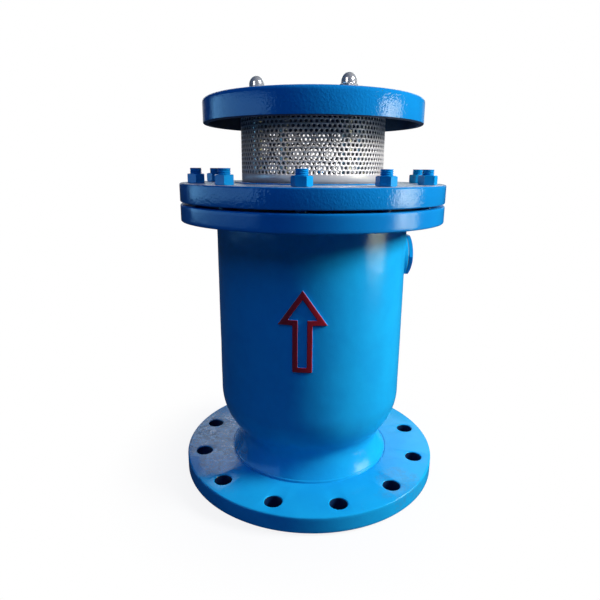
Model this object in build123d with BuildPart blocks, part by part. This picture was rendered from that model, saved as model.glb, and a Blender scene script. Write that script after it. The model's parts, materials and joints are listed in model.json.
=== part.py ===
from build123d import *

import os
from math import sqrt

# Flanged quick exhaust valve for a pipeline, in millimetres.
# A float and a main disc hang inside a cast barrel. The disc closes the wide outlet in the bonnet,
# and a small orifice through the disc and its hollow stem bleeds air once the outlet is shut.
# The origin is the centre of the inlet flange's sealing face, +Z is up and the front is -Y.
# Everything is modelled with the valve empty: the disc is down and the float hangs from it.

# Inlet flange
inlet_flange_d = 340.0
inlet_flange_t = 24.0  # with its raised face
inlet_hole_edge = 22.5  # from the bolt circle out to the flange's rim
inlet_hole_count = 12
inlet_hole_d = 22.0
inlet_hole_start = 15.0  # degrees, so that the holes straddle the centre lines
raised_face_edge = 14.5  # from the bolt circle in to the raised face's rim
raised_face_t = 3.0
inlet_bore_d = 172.0

# Outlet in the bonnet: the seat, the guide rods, the barrel and the screen take their sizes from it
outlet_d = 124.0

# Body casting
neck_wall = 10.0
hub_step = 9.0  # the hub on the inlet flange stands out from the waist by this much
hub_fillet = 4.0
waist_z = 60.0
waist_fillet = 24.0
bowl_rise = 56.0  # from the waist up to the barrel
air_way = 17.0  # between the guide rods and the barrel's wall
body_wall = 10.0
neck_fillet = 6.0
body_flange_t = 19.9
barrel_fillet = 4.0
edge_chamfer = 1.5

# Side boss and its plug
boss_angle = 9.0
boss_drop = 46.4  # below the body's top flange
boss_d = 60.0
boss_proud = 1.5
boss_bore_d = 42.0
plug_af = 50.0
plug_head_t = 9.0
plug_bevel = 2.5
plug_seal_t = 1.5
plug_seal_d = 54.0
plug_reach = 14.0

# Joint between the body and the bonnet
stud_step = 33.0  # from the chamber's wall out to the stud circle
stud_edge = 20.0  # from the stud circle out to the flanges' rims
stud_count = 10
stud_start = -93.0
stud_d = 12.0
stud_depth = 16.0
stud_hole_d = 14.0
stud_stand_out = 6.5
nut_af = 19.0
nut_t = 10.8
gasket_t = 3.0
gasket_stud_gap = 8.0  # from the gasket's rim to the stud circle
gasket_lip = 2.0  # from the chamber's wall to the gasket

# Bonnet
bonnet_t = 21.7
spigot_depth = 6.0
spigot_clearance = 0.5
rim_wall = 8.9
rim_h = 1.5
spider_arms = 3
spider_arm_w = 10.0
spider_hub_d = 34.0
spider_t = 12.0
spider_sink = 8.0  # from the bonnet's top face down to the spider's

# Outlet screen
screen_step = 25.6  # from the outlet's edge out to the screen's outside
screen_t = 1.5
screen_h = 88.2
screen_clearance = 0.5
screen_band = 11.0  # plain band at the foot
screen_rows = 5
screen_holes_per_row = 32
screen_hole_af = 11.0
screen_row_pitch = 15.0

# Rain cap on its four studs
cap_overhang = 44.7  # past the screen, all round
cap_h = 28.6
cap_plate_t = 8.0
cap_skirt_t = 6.0
cap_top_round = 5.0
cap_bevel = 1.5
cap_inner_round = 3.0
cap_register_h = 4.0
cap_register_t = 3.0
cap_stud_step = 12.8  # from the outlet's edge out to the stud circle
cap_stud_count = 4
cap_stud_start = -148.0
cap_stud_d = 12.0
cap_stud_depth = 14.0
cap_hole_d = 13.0
acorn_af = 19.0
acorn_hex_h = 10.0
acorn_h = 22.0
acorn_dome_d = 17.0
acorn_bore_depth = 15.0

# Seat under the bonnet
seat_gasket_t = 1.5
seat_t = 8.0
seat_land_step = 2.0  # from the outlet's edge out to the land
seat_land_w = 4.0
seat_land_h = 1.0
seat_screw_count = 8
seat_screw_d = 5.0
seat_screw_head_d = 10.0
seat_screw_length = 18.0
seat_screw_gap = 3.0  # between the land and the screw heads
seat_edge = 1.0  # outside the screw heads

# Main disc, its seal and its hollow stem
main_travel = 40.0
closing_gap = 0.1  # left at the end of a travel, where rubber meets metal
disc_overlap = 4.0  # of the disc past the seat's land
disc_rim_t = 4.0
disc_t = 7.0
disc_hub_d = 48.0
disc_hub_drop = 7.0
disc_neck_d = 34.0
disc_neck_h = 6.0
seal_t = 5.0
seal_inset = 14.0  # of the seal inside the seat's land
retainer_gap = 2.0  # between the retainer and the outlet's edge
retainer_t = 4.0
stem_d = 18.0
stem_shank_d = 16.0
stem_bore_d = 8.0
stem_collar_d = 32.0
stem_collar_t = 6.0
stem_engagement = 10.0
bush_d = 22.0
bush_flange_d = 30.0
bush_flange_t = 2.0
bush_tail = 2.0
stop_washer_d = 30.0
stop_washer_t = 2.0
stem_nut_af = 24.0
stop_nut_t = 8.0
lock_nut_t = 5.0
lock_nut_turn = 17.0  # degrees between the two nuts' flats
stem_end = 3.0

# Small orifice and the housing that hangs the float
nozzle_af = 14.0
nozzle_hex_h = 4.0
nozzle_shank_d = 10.0
nozzle_shank_h = 6.0
nozzle_tip_h = 2.0
nozzle_tip_d = 6.0
orifice_d = 3.0
pilot_travel = 8.0
housing_wall = 3.0
housing_lip_t = 3.0
housing_windows = 4
housing_window_w = 12.0
housing_window_h = 9.0

# Guide rods hung from the bonnet, with a barred ring at their foot
guide_rod_count = 8
guide_rod_start = 22.5
guide_rod_d = 10.0
guide_rod_end_d = 8.0
guide_rod_thread = 12.0
guide_rod_gap = 1.0  # between the seat ring and the rods
foot_ring_w = 12.0
foot_t = 6.0
foot_arms = 4
foot_arm_w = 8.0
foot_hub_d = 30.0
foot_clearance = 2.83  # from the ring's lower edge to the bowl
foot_play = 5.0  # from the foot up to the float

# Float
float_play = 8.0  # between the float and the guide rods
rod_d = 14.0
rod_clearance = 0.5
rod_head_d = 30.0
rod_head_h = 8.0
rod_thread_d = 12.0
rod_nut_af = 22.0
rod_nut_t = 5.0
rod_spare = 1.0  # left between the nut and the housing when the float is up
pad_d = 16.0
pad_depth = 3.0
pad_proud = 0.6
float_wall = 1.2
float_boss_d = 28.0
float_boss_h = 3.0
float_boss_inner = 9.0
float_seam_w = 5.0
float_seam_proud = 0.8

# Clearances
thread_clearance = 0.1  # between a thread's two plain cylinders
press_clearance = 0.02
running_clearance = 0.08  # radial, stem in bush
washer_clearance = 0.3

# Diameters worked out from the sizes above
inlet_pcd = inlet_flange_d - 2 * inlet_hole_edge
raised_face_d = inlet_pcd - 2 * raised_face_edge
waist_d = inlet_bore_d + 2 * neck_wall
hub_d = waist_d + 2 * hub_step
seat_land_in_d = outlet_d + 2 * seat_land_step
seat_land_out_d = seat_land_in_d + 2 * seat_land_w
seat_screw_pcd = seat_land_out_d + 2 * seat_screw_gap + seat_screw_head_d
seat_od = seat_screw_pcd + seat_screw_head_d + 2 * seat_edge
disc_d = seat_land_out_d + 2 * disc_overlap
seal_id = seat_land_in_d - 2 * seal_inset
retainer_d = outlet_d - 2 * retainer_gap
guide_rod_pcd = seat_od + 2 * guide_rod_gap + guide_rod_d
float_d = guide_rod_pcd - guide_rod_d - 2 * float_play
chamber_d = guide_rod_pcd + guide_rod_d + 2 * air_way
barrel_d = chamber_d + 2 * body_wall
boss_face_r = barrel_d / 2 + boss_proud
stud_pcd = chamber_d + 2 * stud_step
top_flange_d = stud_pcd + 2 * stud_edge
gasket_od = stud_pcd - 2 * gasket_stud_gap
gasket_id = chamber_d + 2 * gasket_lip
screen_d = outlet_d + 2 * screen_step
rim_d = screen_d + 2 * (screen_clearance + rim_wall)
cap_d = screen_d + 2 * cap_overhang
cap_stud_pcd = outlet_d + 2 * cap_stud_step

# The bowl is one arc, upright where it meets the barrel and ending at the waist.
bowl_top_z = waist_z + bowl_rise
bowl_step = (barrel_d - waist_d) / 2
bowl_r = (bowl_step**2 + bowl_rise**2) / (2 * bowl_step)
bowl_centre_r = barrel_d / 2 - bowl_r
bowl_inner_r = bowl_r - body_wall
neck_top_z = bowl_top_z - sqrt(bowl_inner_r**2 - (inlet_bore_d / 2 - bowl_centre_r) ** 2)

# Levels, from the foot ring in the bowl up to the cap
foot_ring_d = guide_rod_pcd + foot_ring_w
foot_reach = foot_ring_d / 2 + foot_clearance - bowl_centre_r
foot_z = bowl_top_z - sqrt(bowl_inner_r**2 - foot_reach**2)
foot_top = foot_z + foot_t
float_centre = foot_top + foot_play + float_d / 2
float_pole = float_centre + float_d / 2
float_boss_top = float_pole + float_boss_h
housing_z = float_boss_top + rod_nut_t + rod_spare + pilot_travel
rod_head_z = housing_z + housing_lip_t
rod_head_top = rod_head_z + rod_head_h
pad_top = rod_head_top + pad_proud
nozzle_tip_z = pad_top + closing_gap + pilot_travel
disc_neck_z = nozzle_tip_z + nozzle_tip_h + nozzle_hex_h
disc_hub_z = disc_neck_z + disc_neck_h
disc_top = disc_hub_z + disc_hub_drop + disc_t
seal_top = disc_top + seal_t
retainer_top = seal_top + retainer_t
seat_face = seal_top + closing_gap + main_travel
seat_plate_z = seat_face + seat_land_h
seat_top = seat_plate_z + seat_t
bonnet_bottom = seat_top + seat_gasket_t
bonnet_z = bonnet_bottom + spigot_depth
body_h = bonnet_z - gasket_t
body_flange_z = body_h - body_flange_t
boss_z = body_flange_z - boss_drop
bonnet_top = bonnet_z + bonnet_t
spider_top = bonnet_top - spider_sink
spider_z = spider_top - spider_t
bush_top = spider_top + bush_flange_t
stop_nut_z = bush_top + stop_washer_t
lock_nut_z = stop_nut_z + stop_nut_t
stem_top = lock_nut_z + lock_nut_t + stem_end
cap_under = bonnet_top + screen_h
cap_top = cap_under + cap_plate_t
cap_bottom = cap_top - cap_h


def corner(sketch, r, z):
    """Return the sketch's vertex nearest to the radius and height given."""
    return sketch.vertices().sort_by_distance((r, z))[0]


def hexagon_r(across_flats):
    """Return a hexagon's corner radius from its size across flats."""
    return across_flats / sqrt(3)


# Valve body: flanges, neck, bowl and barrel in one casting, with the side boss
boss_plane = Plane(
    origin=(0, 0, boss_z), x_dir=(0, 0, 1), z_dir=Vector(1, 0, 0).rotate(Axis.Z, boss_angle)
)
with BuildPart() as valve_body:
    with BuildSketch(Plane.XZ) as section:
        with BuildLine():
            rim = Polyline(
                (inlet_bore_d / 2, neck_top_z),
                (inlet_bore_d / 2, 0),
                (raised_face_d / 2, 0),
                (raised_face_d / 2, raised_face_t),
                (inlet_flange_d / 2, raised_face_t),
                (inlet_flange_d / 2, inlet_flange_t),
                (hub_d / 2, inlet_flange_t),
            )
            TangentArc((waist_d / 2, waist_z), rim @ 1, tangent=(0, -1))
            TangentArc((barrel_d / 2, bowl_top_z), (waist_d / 2, waist_z), tangent=(0, -1))
            wall = Polyline(
                (barrel_d / 2, bowl_top_z),
                (barrel_d / 2, body_flange_z),
                (top_flange_d / 2, body_flange_z),
                (top_flange_d / 2, body_h),
                (chamber_d / 2, body_h),
                (chamber_d / 2, bowl_top_z),
            )
            TangentArc(wall @ 1, rim @ 0, tangent=(0, -1))
        make_face()
        fillet(corner(section, hub_d / 2, inlet_flange_t), hub_fillet)
        fillet(corner(section, inlet_bore_d / 2, neck_top_z), neck_fillet)
        fillet(corner(section, waist_d / 2, waist_z), waist_fillet)
        fillet(corner(section, barrel_d / 2, body_flange_z), barrel_fillet)
        chamfer(
            [
                corner(section, inlet_flange_d / 2, inlet_flange_t),
                corner(section, inlet_flange_d / 2, raised_face_t),
                corner(section, top_flange_d / 2, body_flange_z),
                corner(section, top_flange_d / 2, body_h),
            ],
            edge_chamfer,
        )
    revolve(axis=Axis.Z)
    with BuildSketch(boss_plane.offset(chamber_d / 2 + body_wall / 2)):
        Circle(boss_d / 2)
    extrude(amount=boss_face_r - chamber_d / 2 - body_wall / 2)
    with BuildSketch(boss_plane.offset(chamber_d / 2 - body_wall)):
        Circle(boss_bore_d / 2)
    extrude(amount=boss_face_r, mode=Mode.SUBTRACT)
    with BuildSketch(Plane.XY):
        with PolarLocations(inlet_pcd / 2, inlet_hole_count, start_angle=inlet_hole_start):
            Circle(inlet_hole_d / 2)
    extrude(amount=inlet_flange_t, mode=Mode.SUBTRACT)
    with BuildSketch(Plane.XY.offset(body_h)):
        with PolarLocations(stud_pcd / 2, stud_count, start_angle=stud_start):
            Circle(stud_d / 2 + thread_clearance)
    extrude(amount=-stud_depth, mode=Mode.SUBTRACT)
valve_body.part.label = "valve_body"

# Side plug: a hexagon head on a plain shank, screwed down on a sealing ring
plug_head_r = boss_face_r + plug_seal_t
with BuildPart() as side_plug:
    with BuildSketch(boss_plane.offset(plug_head_r)):
        RegularPolygon(hexagon_r(plug_af), 6, rotation=30)
    extrude(amount=plug_head_t)
    chamfer(side_plug.faces().sort_by(Axis((0, 0, 0), boss_plane.z_dir))[-1].edges(), plug_bevel)
    with BuildSketch(boss_plane.offset(plug_head_r - plug_reach)):
        Circle(boss_bore_d / 2 - thread_clearance)
    extrude(amount=plug_reach)
side_plug.part.label = "side_plug"

with BuildPart() as plug_seal:
    with BuildSketch(boss_plane.offset(boss_face_r)):
        Circle(plug_seal_d / 2)
        Circle(boss_bore_d / 2 + thread_clearance, mode=Mode.SUBTRACT)
    extrude(amount=plug_seal_t)
plug_seal.part.label = "plug_seal"

# Flat gasket inside the stud circle, so that a dark gap shows at the rim
with BuildPart() as body_gasket:
    with BuildSketch(Plane.XY.offset(body_h)):
        Circle(gasket_od / 2)
        Circle(gasket_id / 2, mode=Mode.SUBTRACT)
    extrude(amount=gasket_t)
body_gasket.part.label = "body_gasket"

# Bonnet: a thick flange with a spigot below, a low rim round the screen and a guide spider in the outlet
with BuildPart() as bonnet:
    with BuildSketch(Plane.XZ) as section:
        with BuildLine():
            Polyline(
                (outlet_d / 2, bonnet_bottom),
                (chamber_d / 2 - spigot_clearance, bonnet_bottom),
                (chamber_d / 2 - spigot_clearance, bonnet_z),
                (top_flange_d / 2, bonnet_z),
                (top_flange_d / 2, bonnet_top),
                (rim_d / 2, bonnet_top),
                (rim_d / 2, bonnet_top + rim_h),
                (screen_d / 2 + screen_clearance, bonnet_top + rim_h),
                (screen_d / 2 + screen_clearance, bonnet_top),
                (outlet_d / 2, bonnet_top),
                close=True,
            )
        make_face()
        chamfer(
            [
                corner(section, top_flange_d / 2, bonnet_z),
                corner(section, top_flange_d / 2, bonnet_top),
                corner(section, outlet_d / 2, bonnet_top),
            ],
            edge_chamfer,
        )
    revolve(axis=Axis.Z)
    with BuildSketch(Plane.XY.offset(spider_z)):
        Circle(spider_hub_d / 2)
        with PolarLocations(0, spider_arms, start_angle=90):
            Rectangle(outlet_d / 2 + edge_chamfer, spider_arm_w, align=(Align.MIN, Align.CENTER))
    extrude(amount=spider_t)
    with BuildSketch(Plane.XY.offset(spider_z)):
        Circle(bush_d / 2 + press_clearance)
    extrude(amount=spider_t, mode=Mode.SUBTRACT)
    with BuildSketch(Plane.XY.offset(bonnet_top)):
        with PolarLocations(cap_stud_pcd / 2, cap_stud_count, start_angle=cap_stud_start):
            Circle(cap_stud_d / 2 + thread_clearance)
    extrude(amount=-cap_stud_depth, mode=Mode.SUBTRACT)
    with BuildSketch(Plane.XY.offset(bonnet_z)):
        with PolarLocations(stud_pcd / 2, stud_count, start_angle=stud_start):
            Circle(stud_hole_d / 2)
    extrude(amount=bonnet_t, mode=Mode.SUBTRACT)
    with BuildSketch(Plane.XY.offset(bonnet_bottom)):
        with PolarLocations(seat_screw_pcd / 2, seat_screw_count):
            Circle(seat_screw_d / 2 + thread_clearance)
    extrude(amount=seat_screw_length - seat_t - seat_gasket_t + 1, mode=Mode.SUBTRACT)
    with BuildSketch(Plane.XY.offset(bonnet_bottom)):
        with PolarLocations(guide_rod_pcd / 2, guide_rod_count, start_angle=guide_rod_start):
            Circle(guide_rod_end_d / 2 + thread_clearance)
    extrude(amount=guide_rod_thread + 1, mode=Mode.SUBTRACT)
bonnet.part.label = "bonnet"

# Studs screwed into the body's flange, with a nut each
with BuildPart() as bonnet_studs:
    with BuildSketch(Plane.XY.offset(body_h - stud_depth)):
        with PolarLocations(stud_pcd / 2, stud_count, start_angle=stud_start):
            Circle(stud_d / 2)
    extrude(amount=stud_depth + gasket_t + bonnet_t + nut_t + stud_stand_out)
bonnet_studs.part.label = "bonnet_studs"

with BuildPart() as bonnet_nuts:
    with BuildSketch(Plane.XY.offset(bonnet_top)):
        with PolarLocations(stud_pcd / 2, stud_count, start_angle=stud_start):
            RegularPolygon(hexagon_r(nut_af), 6)
            Circle(stud_d / 2 + thread_clearance, mode=Mode.SUBTRACT)
    extrude(amount=nut_t)
bonnet_nuts.part.label = "bonnet_nuts"

# Outlet screen: a rolled sheet with staggered rows of windows, clamped between the bonnet and the cap
window = Rot(0, 90, 0) * extrude(
    RegularPolygon(screen_hole_af / 2, 6, major_radius=False), amount=screen_d, both=True
)
with BuildPart() as outlet_screen:
    with BuildSketch(Plane.XY.offset(bonnet_top)):
        Circle(screen_d / 2)
        Circle(screen_d / 2 - screen_t, mode=Mode.SUBTRACT)
    extrude(amount=screen_h)
    for row in range(screen_rows):
        row_z = bonnet_top + screen_band + screen_hole_af / 2 + row * screen_row_pitch
        stagger = (row % 2) * 180 / screen_holes_per_row
        with Locations((0, 0, row_z)):
            with PolarLocations(
                0, screen_holes_per_row // 2, start_angle=stagger, angular_range=180, endpoint=False
            ):
                add(window, mode=Mode.SUBTRACT)
outlet_screen.part.label = "outlet_screen"

# Rain cap: a dished plate with a skirt, and a low register inside the screen
cap_register_r = screen_d / 2 - screen_t - screen_clearance
with BuildPart() as cap:
    with BuildSketch(Plane.XZ) as section:
        with BuildLine():
            Polyline(
                (0, cap_under),
                (cap_register_r - cap_register_t, cap_under),
                (cap_register_r - cap_register_t, cap_under - cap_register_h),
                (cap_register_r, cap_under - cap_register_h),
                (cap_register_r, cap_under),
                (cap_d / 2 - cap_skirt_t, cap_under),
                (cap_d / 2 - cap_skirt_t, cap_bottom),
                (cap_d / 2, cap_bottom),
                (cap_d / 2, cap_top),
                (0, cap_top),
                close=True,
            )
        make_face()
        fillet(corner(section, cap_d / 2, cap_top), cap_top_round)
        fillet(corner(section, cap_d / 2 - cap_skirt_t, cap_under), cap_inner_round)
        chamfer(corner(section, cap_d / 2, cap_bottom), cap_bevel)
    revolve(axis=Axis.Z)
    with BuildSketch(Plane.XY.offset(cap_under)):
        with PolarLocations(cap_stud_pcd / 2, cap_stud_count, start_angle=cap_stud_start):
            Circle(cap_hole_d / 2)
    extrude(amount=cap_plate_t, mode=Mode.SUBTRACT)
cap.part.label = "cap"

with BuildPart() as cap_studs:
    with BuildSketch(Plane.XY.offset(bonnet_top - cap_stud_depth)):
        with PolarLocations(cap_stud_pcd / 2, cap_stud_count, start_angle=cap_stud_start):
            Circle(cap_stud_d / 2)
    extrude(amount=cap_stud_depth + screen_h + cap_plate_t + acorn_bore_depth)
cap_studs.part.label = "cap_studs"

# Acorn nuts: a hexagon, a short collar and a round dome
with BuildPart() as cap_nuts:
    with BuildSketch(Plane.XY.offset(cap_top)):
        with PolarLocations(cap_stud_pcd / 2, cap_stud_count, start_angle=cap_stud_start):
            RegularPolygon(hexagon_r(acorn_af), 6)
    extrude(amount=acorn_hex_h)
    with BuildSketch(Plane.XY.offset(cap_top)):
        with PolarLocations(cap_stud_pcd / 2, cap_stud_count, start_angle=cap_stud_start):
            Circle(acorn_dome_d / 2)
    extrude(amount=acorn_h - acorn_dome_d / 2)
    with Locations((0, 0, cap_top + acorn_h - acorn_dome_d / 2)):
        with PolarLocations(cap_stud_pcd / 2, cap_stud_count, start_angle=cap_stud_start):
            Sphere(acorn_dome_d / 2)
    with BuildSketch(Plane.XY.offset(cap_top)):
        with PolarLocations(cap_stud_pcd / 2, cap_stud_count, start_angle=cap_stud_start):
            Circle(cap_stud_d / 2 + thread_clearance)
    extrude(amount=acorn_bore_depth + thread_clearance, mode=Mode.SUBTRACT)
cap_nuts.part.label = "cap_nuts"

# Seat ring under the bonnet, on its gasket, held by countersunk screws
with BuildPart() as seat_gasket:
    with BuildSketch(Plane.XY.offset(seat_top)):
        Circle(seat_od / 2)
        Circle(outlet_d / 2, mode=Mode.SUBTRACT)
        with PolarLocations(seat_screw_pcd / 2, seat_screw_count):
            Circle(seat_screw_d / 2 + thread_clearance, mode=Mode.SUBTRACT)
    extrude(amount=seat_gasket_t)
seat_gasket.part.label = "seat_gasket"

screw_head_h = (seat_screw_head_d - seat_screw_d) / 2
with BuildPart() as seat_ring:
    with BuildSketch(Plane.XY.offset(seat_plate_z)):
        Circle(seat_od / 2)
        Circle(outlet_d / 2, mode=Mode.SUBTRACT)
    extrude(amount=seat_t)
    with BuildSketch(Plane.XY.offset(seat_face)):
        Circle(seat_land_out_d / 2)
        Circle(seat_land_in_d / 2, mode=Mode.SUBTRACT)
    extrude(amount=seat_land_h)
    with Locations(Plane.XY.offset(seat_plate_z).rotated((180, 0, 0))):
        with PolarLocations(seat_screw_pcd / 2, seat_screw_count):
            CounterSinkHole(
                seat_screw_d / 2 + thread_clearance, seat_screw_head_d / 2 + thread_clearance
            )
seat_ring.part.label = "seat_ring"

with BuildPart() as seat_screws:
    with BuildSketch(Plane.XY.offset(seat_plate_z)):
        with PolarLocations(seat_screw_pcd / 2, seat_screw_count):
            Circle(seat_screw_d / 2)
    extrude(amount=seat_screw_length)
    with Locations((0, 0, seat_plate_z + screw_head_h / 2)):
        with PolarLocations(seat_screw_pcd / 2, seat_screw_count):
            Cone(seat_screw_head_d / 2, seat_screw_d / 2, screw_head_h)
seat_screws.part.label = "seat_screws"

# Guide rods: they keep the float under the disc, and their upper ends screw into the bonnet
with BuildPart() as guide_rods:
    with BuildSketch(Plane.XY.offset(foot_top)):
        with PolarLocations(guide_rod_pcd / 2, guide_rod_count, start_angle=guide_rod_start):
            Circle(guide_rod_d / 2)
    extrude(amount=bonnet_bottom - foot_top)
    with BuildSketch(Plane.XY.offset(foot_z)):
        with PolarLocations(guide_rod_pcd / 2, guide_rod_count, start_angle=guide_rod_start):
            Circle(guide_rod_end_d / 2)
    extrude(amount=bonnet_bottom + guide_rod_thread - foot_z)
guide_rods.part.label = "guide_rods"

# Foot ring on the rods' lower ends, with arms that would catch the float
with BuildPart() as cage_foot:
    with BuildSketch(Plane.XY.offset(foot_z)):
        Circle(foot_ring_d / 2)
        Circle(foot_ring_d / 2 - foot_ring_w, mode=Mode.SUBTRACT)
        with PolarLocations(0, foot_arms, start_angle=guide_rod_start + 180 / guide_rod_count):
            Rectangle(
                foot_ring_d / 2 - foot_ring_w / 2, foot_arm_w, align=(Align.MIN, Align.CENTER)
            )
        Circle(foot_hub_d / 2)
        with PolarLocations(guide_rod_pcd / 2, guide_rod_count, start_angle=guide_rod_start):
            Circle(guide_rod_end_d / 2 + press_clearance, mode=Mode.SUBTRACT)
    extrude(amount=foot_t)
cage_foot.part.label = "cage_foot"

# Guide bush pressed into the spider's hub
with BuildPart() as guide_bush:
    with BuildSketch(Plane.XY.offset(spider_z - bush_tail)):
        Circle(bush_d / 2)
    extrude(amount=bush_tail + spider_t + bush_flange_t)
    with BuildSketch(Plane.XY.offset(spider_top)):
        Circle(bush_flange_d / 2)
    extrude(amount=bush_flange_t)
    with BuildSketch(Plane.XY.offset(spider_z - bush_tail)):
        Circle(stem_d / 2 + running_clearance)
    extrude(amount=bush_tail + spider_t + bush_flange_t, mode=Mode.SUBTRACT)
guide_bush.part.label = "guide_bush"

# Main disc: a coned plate with a hub, and a neck that carries the pilot housing
shank_z = disc_top - stem_engagement
with BuildPart() as main_disc:
    with BuildSketch(Plane.XZ):
        with BuildLine():
            Polyline(
                (0, disc_top),
                (disc_d / 2, disc_top),
                (disc_d / 2, disc_top - disc_rim_t),
                (disc_hub_d / 2, disc_top - disc_t),
                (disc_hub_d / 2, disc_hub_z),
                (disc_neck_d / 2, disc_hub_z),
                (disc_neck_d / 2, disc_neck_z),
                (0, disc_neck_z),
                close=True,
            )
        make_face()
    revolve(axis=Axis.Z)
    with BuildSketch(Plane.XY.offset(disc_top)):
        Circle(stem_shank_d / 2 + thread_clearance)
    extrude(amount=-stem_engagement, mode=Mode.SUBTRACT)
    with BuildSketch(Plane.XY.offset(disc_neck_z)):
        Circle(nozzle_shank_d / 2 + thread_clearance)
    extrude(amount=nozzle_shank_h, mode=Mode.SUBTRACT)
    with BuildSketch(Plane.XY.offset(disc_neck_z)):
        Circle(stem_bore_d / 2)
    extrude(amount=disc_top - disc_neck_z, mode=Mode.SUBTRACT)
main_disc.part.label = "main_disc"

with BuildPart() as disc_seal:
    with BuildSketch(Plane.XY.offset(disc_top)):
        Circle(disc_d / 2)
        Circle(seal_id / 2, mode=Mode.SUBTRACT)
    extrude(amount=seal_t)
disc_seal.part.label = "disc_seal"

with BuildPart() as seal_retainer:
    with BuildSketch(Plane.XY.offset(seal_top)):
        Circle(retainer_d / 2)
    extrude(amount=retainer_t)
    with BuildSketch(Plane.XY.offset(disc_top)):
        Circle(seal_id / 2 - washer_clearance)
    extrude(amount=seal_t)
    with BuildSketch(Plane.XY.offset(disc_top)):
        Circle(stem_shank_d / 2 + thread_clearance)
    extrude(amount=seal_t + retainer_t, mode=Mode.SUBTRACT)
seal_retainer.part.label = "seal_retainer"

# Hollow stem: its collar clamps the retainer, and its top carries the stop
with BuildPart() as stem:
    with BuildSketch(Plane.XY.offset(shank_z)):
        Circle(stem_shank_d / 2)
    extrude(amount=retainer_top - shank_z)
    with BuildSketch(Plane.XY.offset(retainer_top)):
        Circle(stem_collar_d / 2)
    extrude(amount=stem_collar_t)
    with BuildSketch(Plane.XY.offset(retainer_top)):
        Circle(stem_d / 2)
    extrude(amount=stem_top - retainer_top)
    with BuildSketch(Plane.XY.offset(shank_z)):
        Circle(stem_bore_d / 2)
    extrude(amount=stem_top - shank_z, mode=Mode.SUBTRACT)
stem.part.label = "stem"

with BuildPart() as stop_washer:
    with BuildSketch(Plane.XY.offset(bush_top)):
        Circle(stop_washer_d / 2)
        Circle(stem_d / 2 + thread_clearance, mode=Mode.SUBTRACT)
    extrude(amount=stop_washer_t)
stop_washer.part.label = "stop_washer"

with BuildPart() as stop_nut:
    with BuildSketch(Plane.XY.offset(stop_nut_z)):
        RegularPolygon(hexagon_r(stem_nut_af), 6)
        Circle(stem_d / 2 + thread_clearance, mode=Mode.SUBTRACT)
    extrude(amount=stop_nut_t)
stop_nut.part.label = "stop_nut"

with BuildPart() as lock_nut:
    with BuildSketch(Plane.XY.offset(lock_nut_z)):
        RegularPolygon(hexagon_r(stem_nut_af), 6, rotation=lock_nut_turn)
        Circle(stem_d / 2 + thread_clearance, mode=Mode.SUBTRACT)
    extrude(amount=lock_nut_t)
lock_nut.part.label = "lock_nut"

# Orifice nozzle screwed into the disc's neck
with BuildPart() as orifice_nozzle:
    with BuildSketch(Plane.XY.offset(disc_neck_z - nozzle_hex_h)):
        RegularPolygon(hexagon_r(nozzle_af), 6)
    extrude(amount=nozzle_hex_h)
    with BuildSketch(Plane.XY.offset(disc_neck_z)):
        Circle(nozzle_shank_d / 2)
    extrude(amount=nozzle_shank_h)
    with Locations((0, 0, nozzle_tip_z + nozzle_tip_h / 2)):
        Cone(nozzle_tip_d / 2, nozzle_shank_d / 2, nozzle_tip_h)
    with BuildSketch(Plane.XY.offset(nozzle_tip_z)):
        Circle(orifice_d / 2)
    extrude(amount=disc_neck_z + nozzle_shank_h - nozzle_tip_z, mode=Mode.SUBTRACT)
orifice_nozzle.part.label = "orifice_nozzle"

# Pilot housing: a windowed sleeve on the disc's neck, with a lip that the float hangs from
housing_bore_r = disc_neck_d / 2 + thread_clearance
housing_d = 2 * (housing_bore_r + housing_wall)
with BuildPart() as pilot_housing:
    with BuildSketch(Plane.XY.offset(housing_z)):
        Circle(housing_d / 2)
        Circle(rod_d / 2 + rod_clearance, mode=Mode.SUBTRACT)
    extrude(amount=housing_lip_t)
    with BuildSketch(Plane.XY.offset(rod_head_z)):
        Circle(housing_d / 2)
        Circle(housing_bore_r, mode=Mode.SUBTRACT)
    extrude(amount=disc_hub_z - rod_head_z)
    with Locations((0, 0, rod_head_top + housing_window_h / 2)):
        with PolarLocations(housing_d / 2, housing_windows):
            Box(4 * housing_wall, housing_window_w, housing_window_h, mode=Mode.SUBTRACT)
pilot_housing.part.label = "pilot_housing"

# Float rod: its head hangs on the housing's lip and carries the rubber pad
rod_foot_z = float_pole - float_boss_inner + float_wall
with BuildPart() as float_rod:
    with BuildSketch(Plane.XY.offset(rod_head_z)):
        Circle(rod_head_d / 2)
    extrude(amount=rod_head_h)
    with BuildSketch(Plane.XY.offset(float_boss_top + rod_nut_t)):
        Circle(rod_d / 2)
    extrude(amount=rod_head_z - float_boss_top - rod_nut_t)
    with BuildSketch(Plane.XY.offset(rod_foot_z)):
        Circle(rod_thread_d / 2)
    extrude(amount=float_boss_top + rod_nut_t - rod_foot_z)
    with BuildSketch(Plane.XY.offset(rod_head_top)):
        Circle(pad_d / 2 + press_clearance)
    extrude(amount=-pad_depth, mode=Mode.SUBTRACT)
float_rod.part.label = "float_rod"

with BuildPart() as pilot_pad:
    with BuildSketch(Plane.XY.offset(rod_head_top - pad_depth)):
        Circle(pad_d / 2)
    extrude(amount=pad_depth + pad_proud)
pilot_pad.part.label = "pilot_pad"

with BuildPart() as rod_nut:
    with BuildSketch(Plane.XY.offset(float_boss_top)):
        RegularPolygon(hexagon_r(rod_nut_af), 6)
        Circle(rod_thread_d / 2 + thread_clearance, mode=Mode.SUBTRACT)
    extrude(amount=rod_nut_t)
rod_nut.part.label = "rod_nut"

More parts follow.
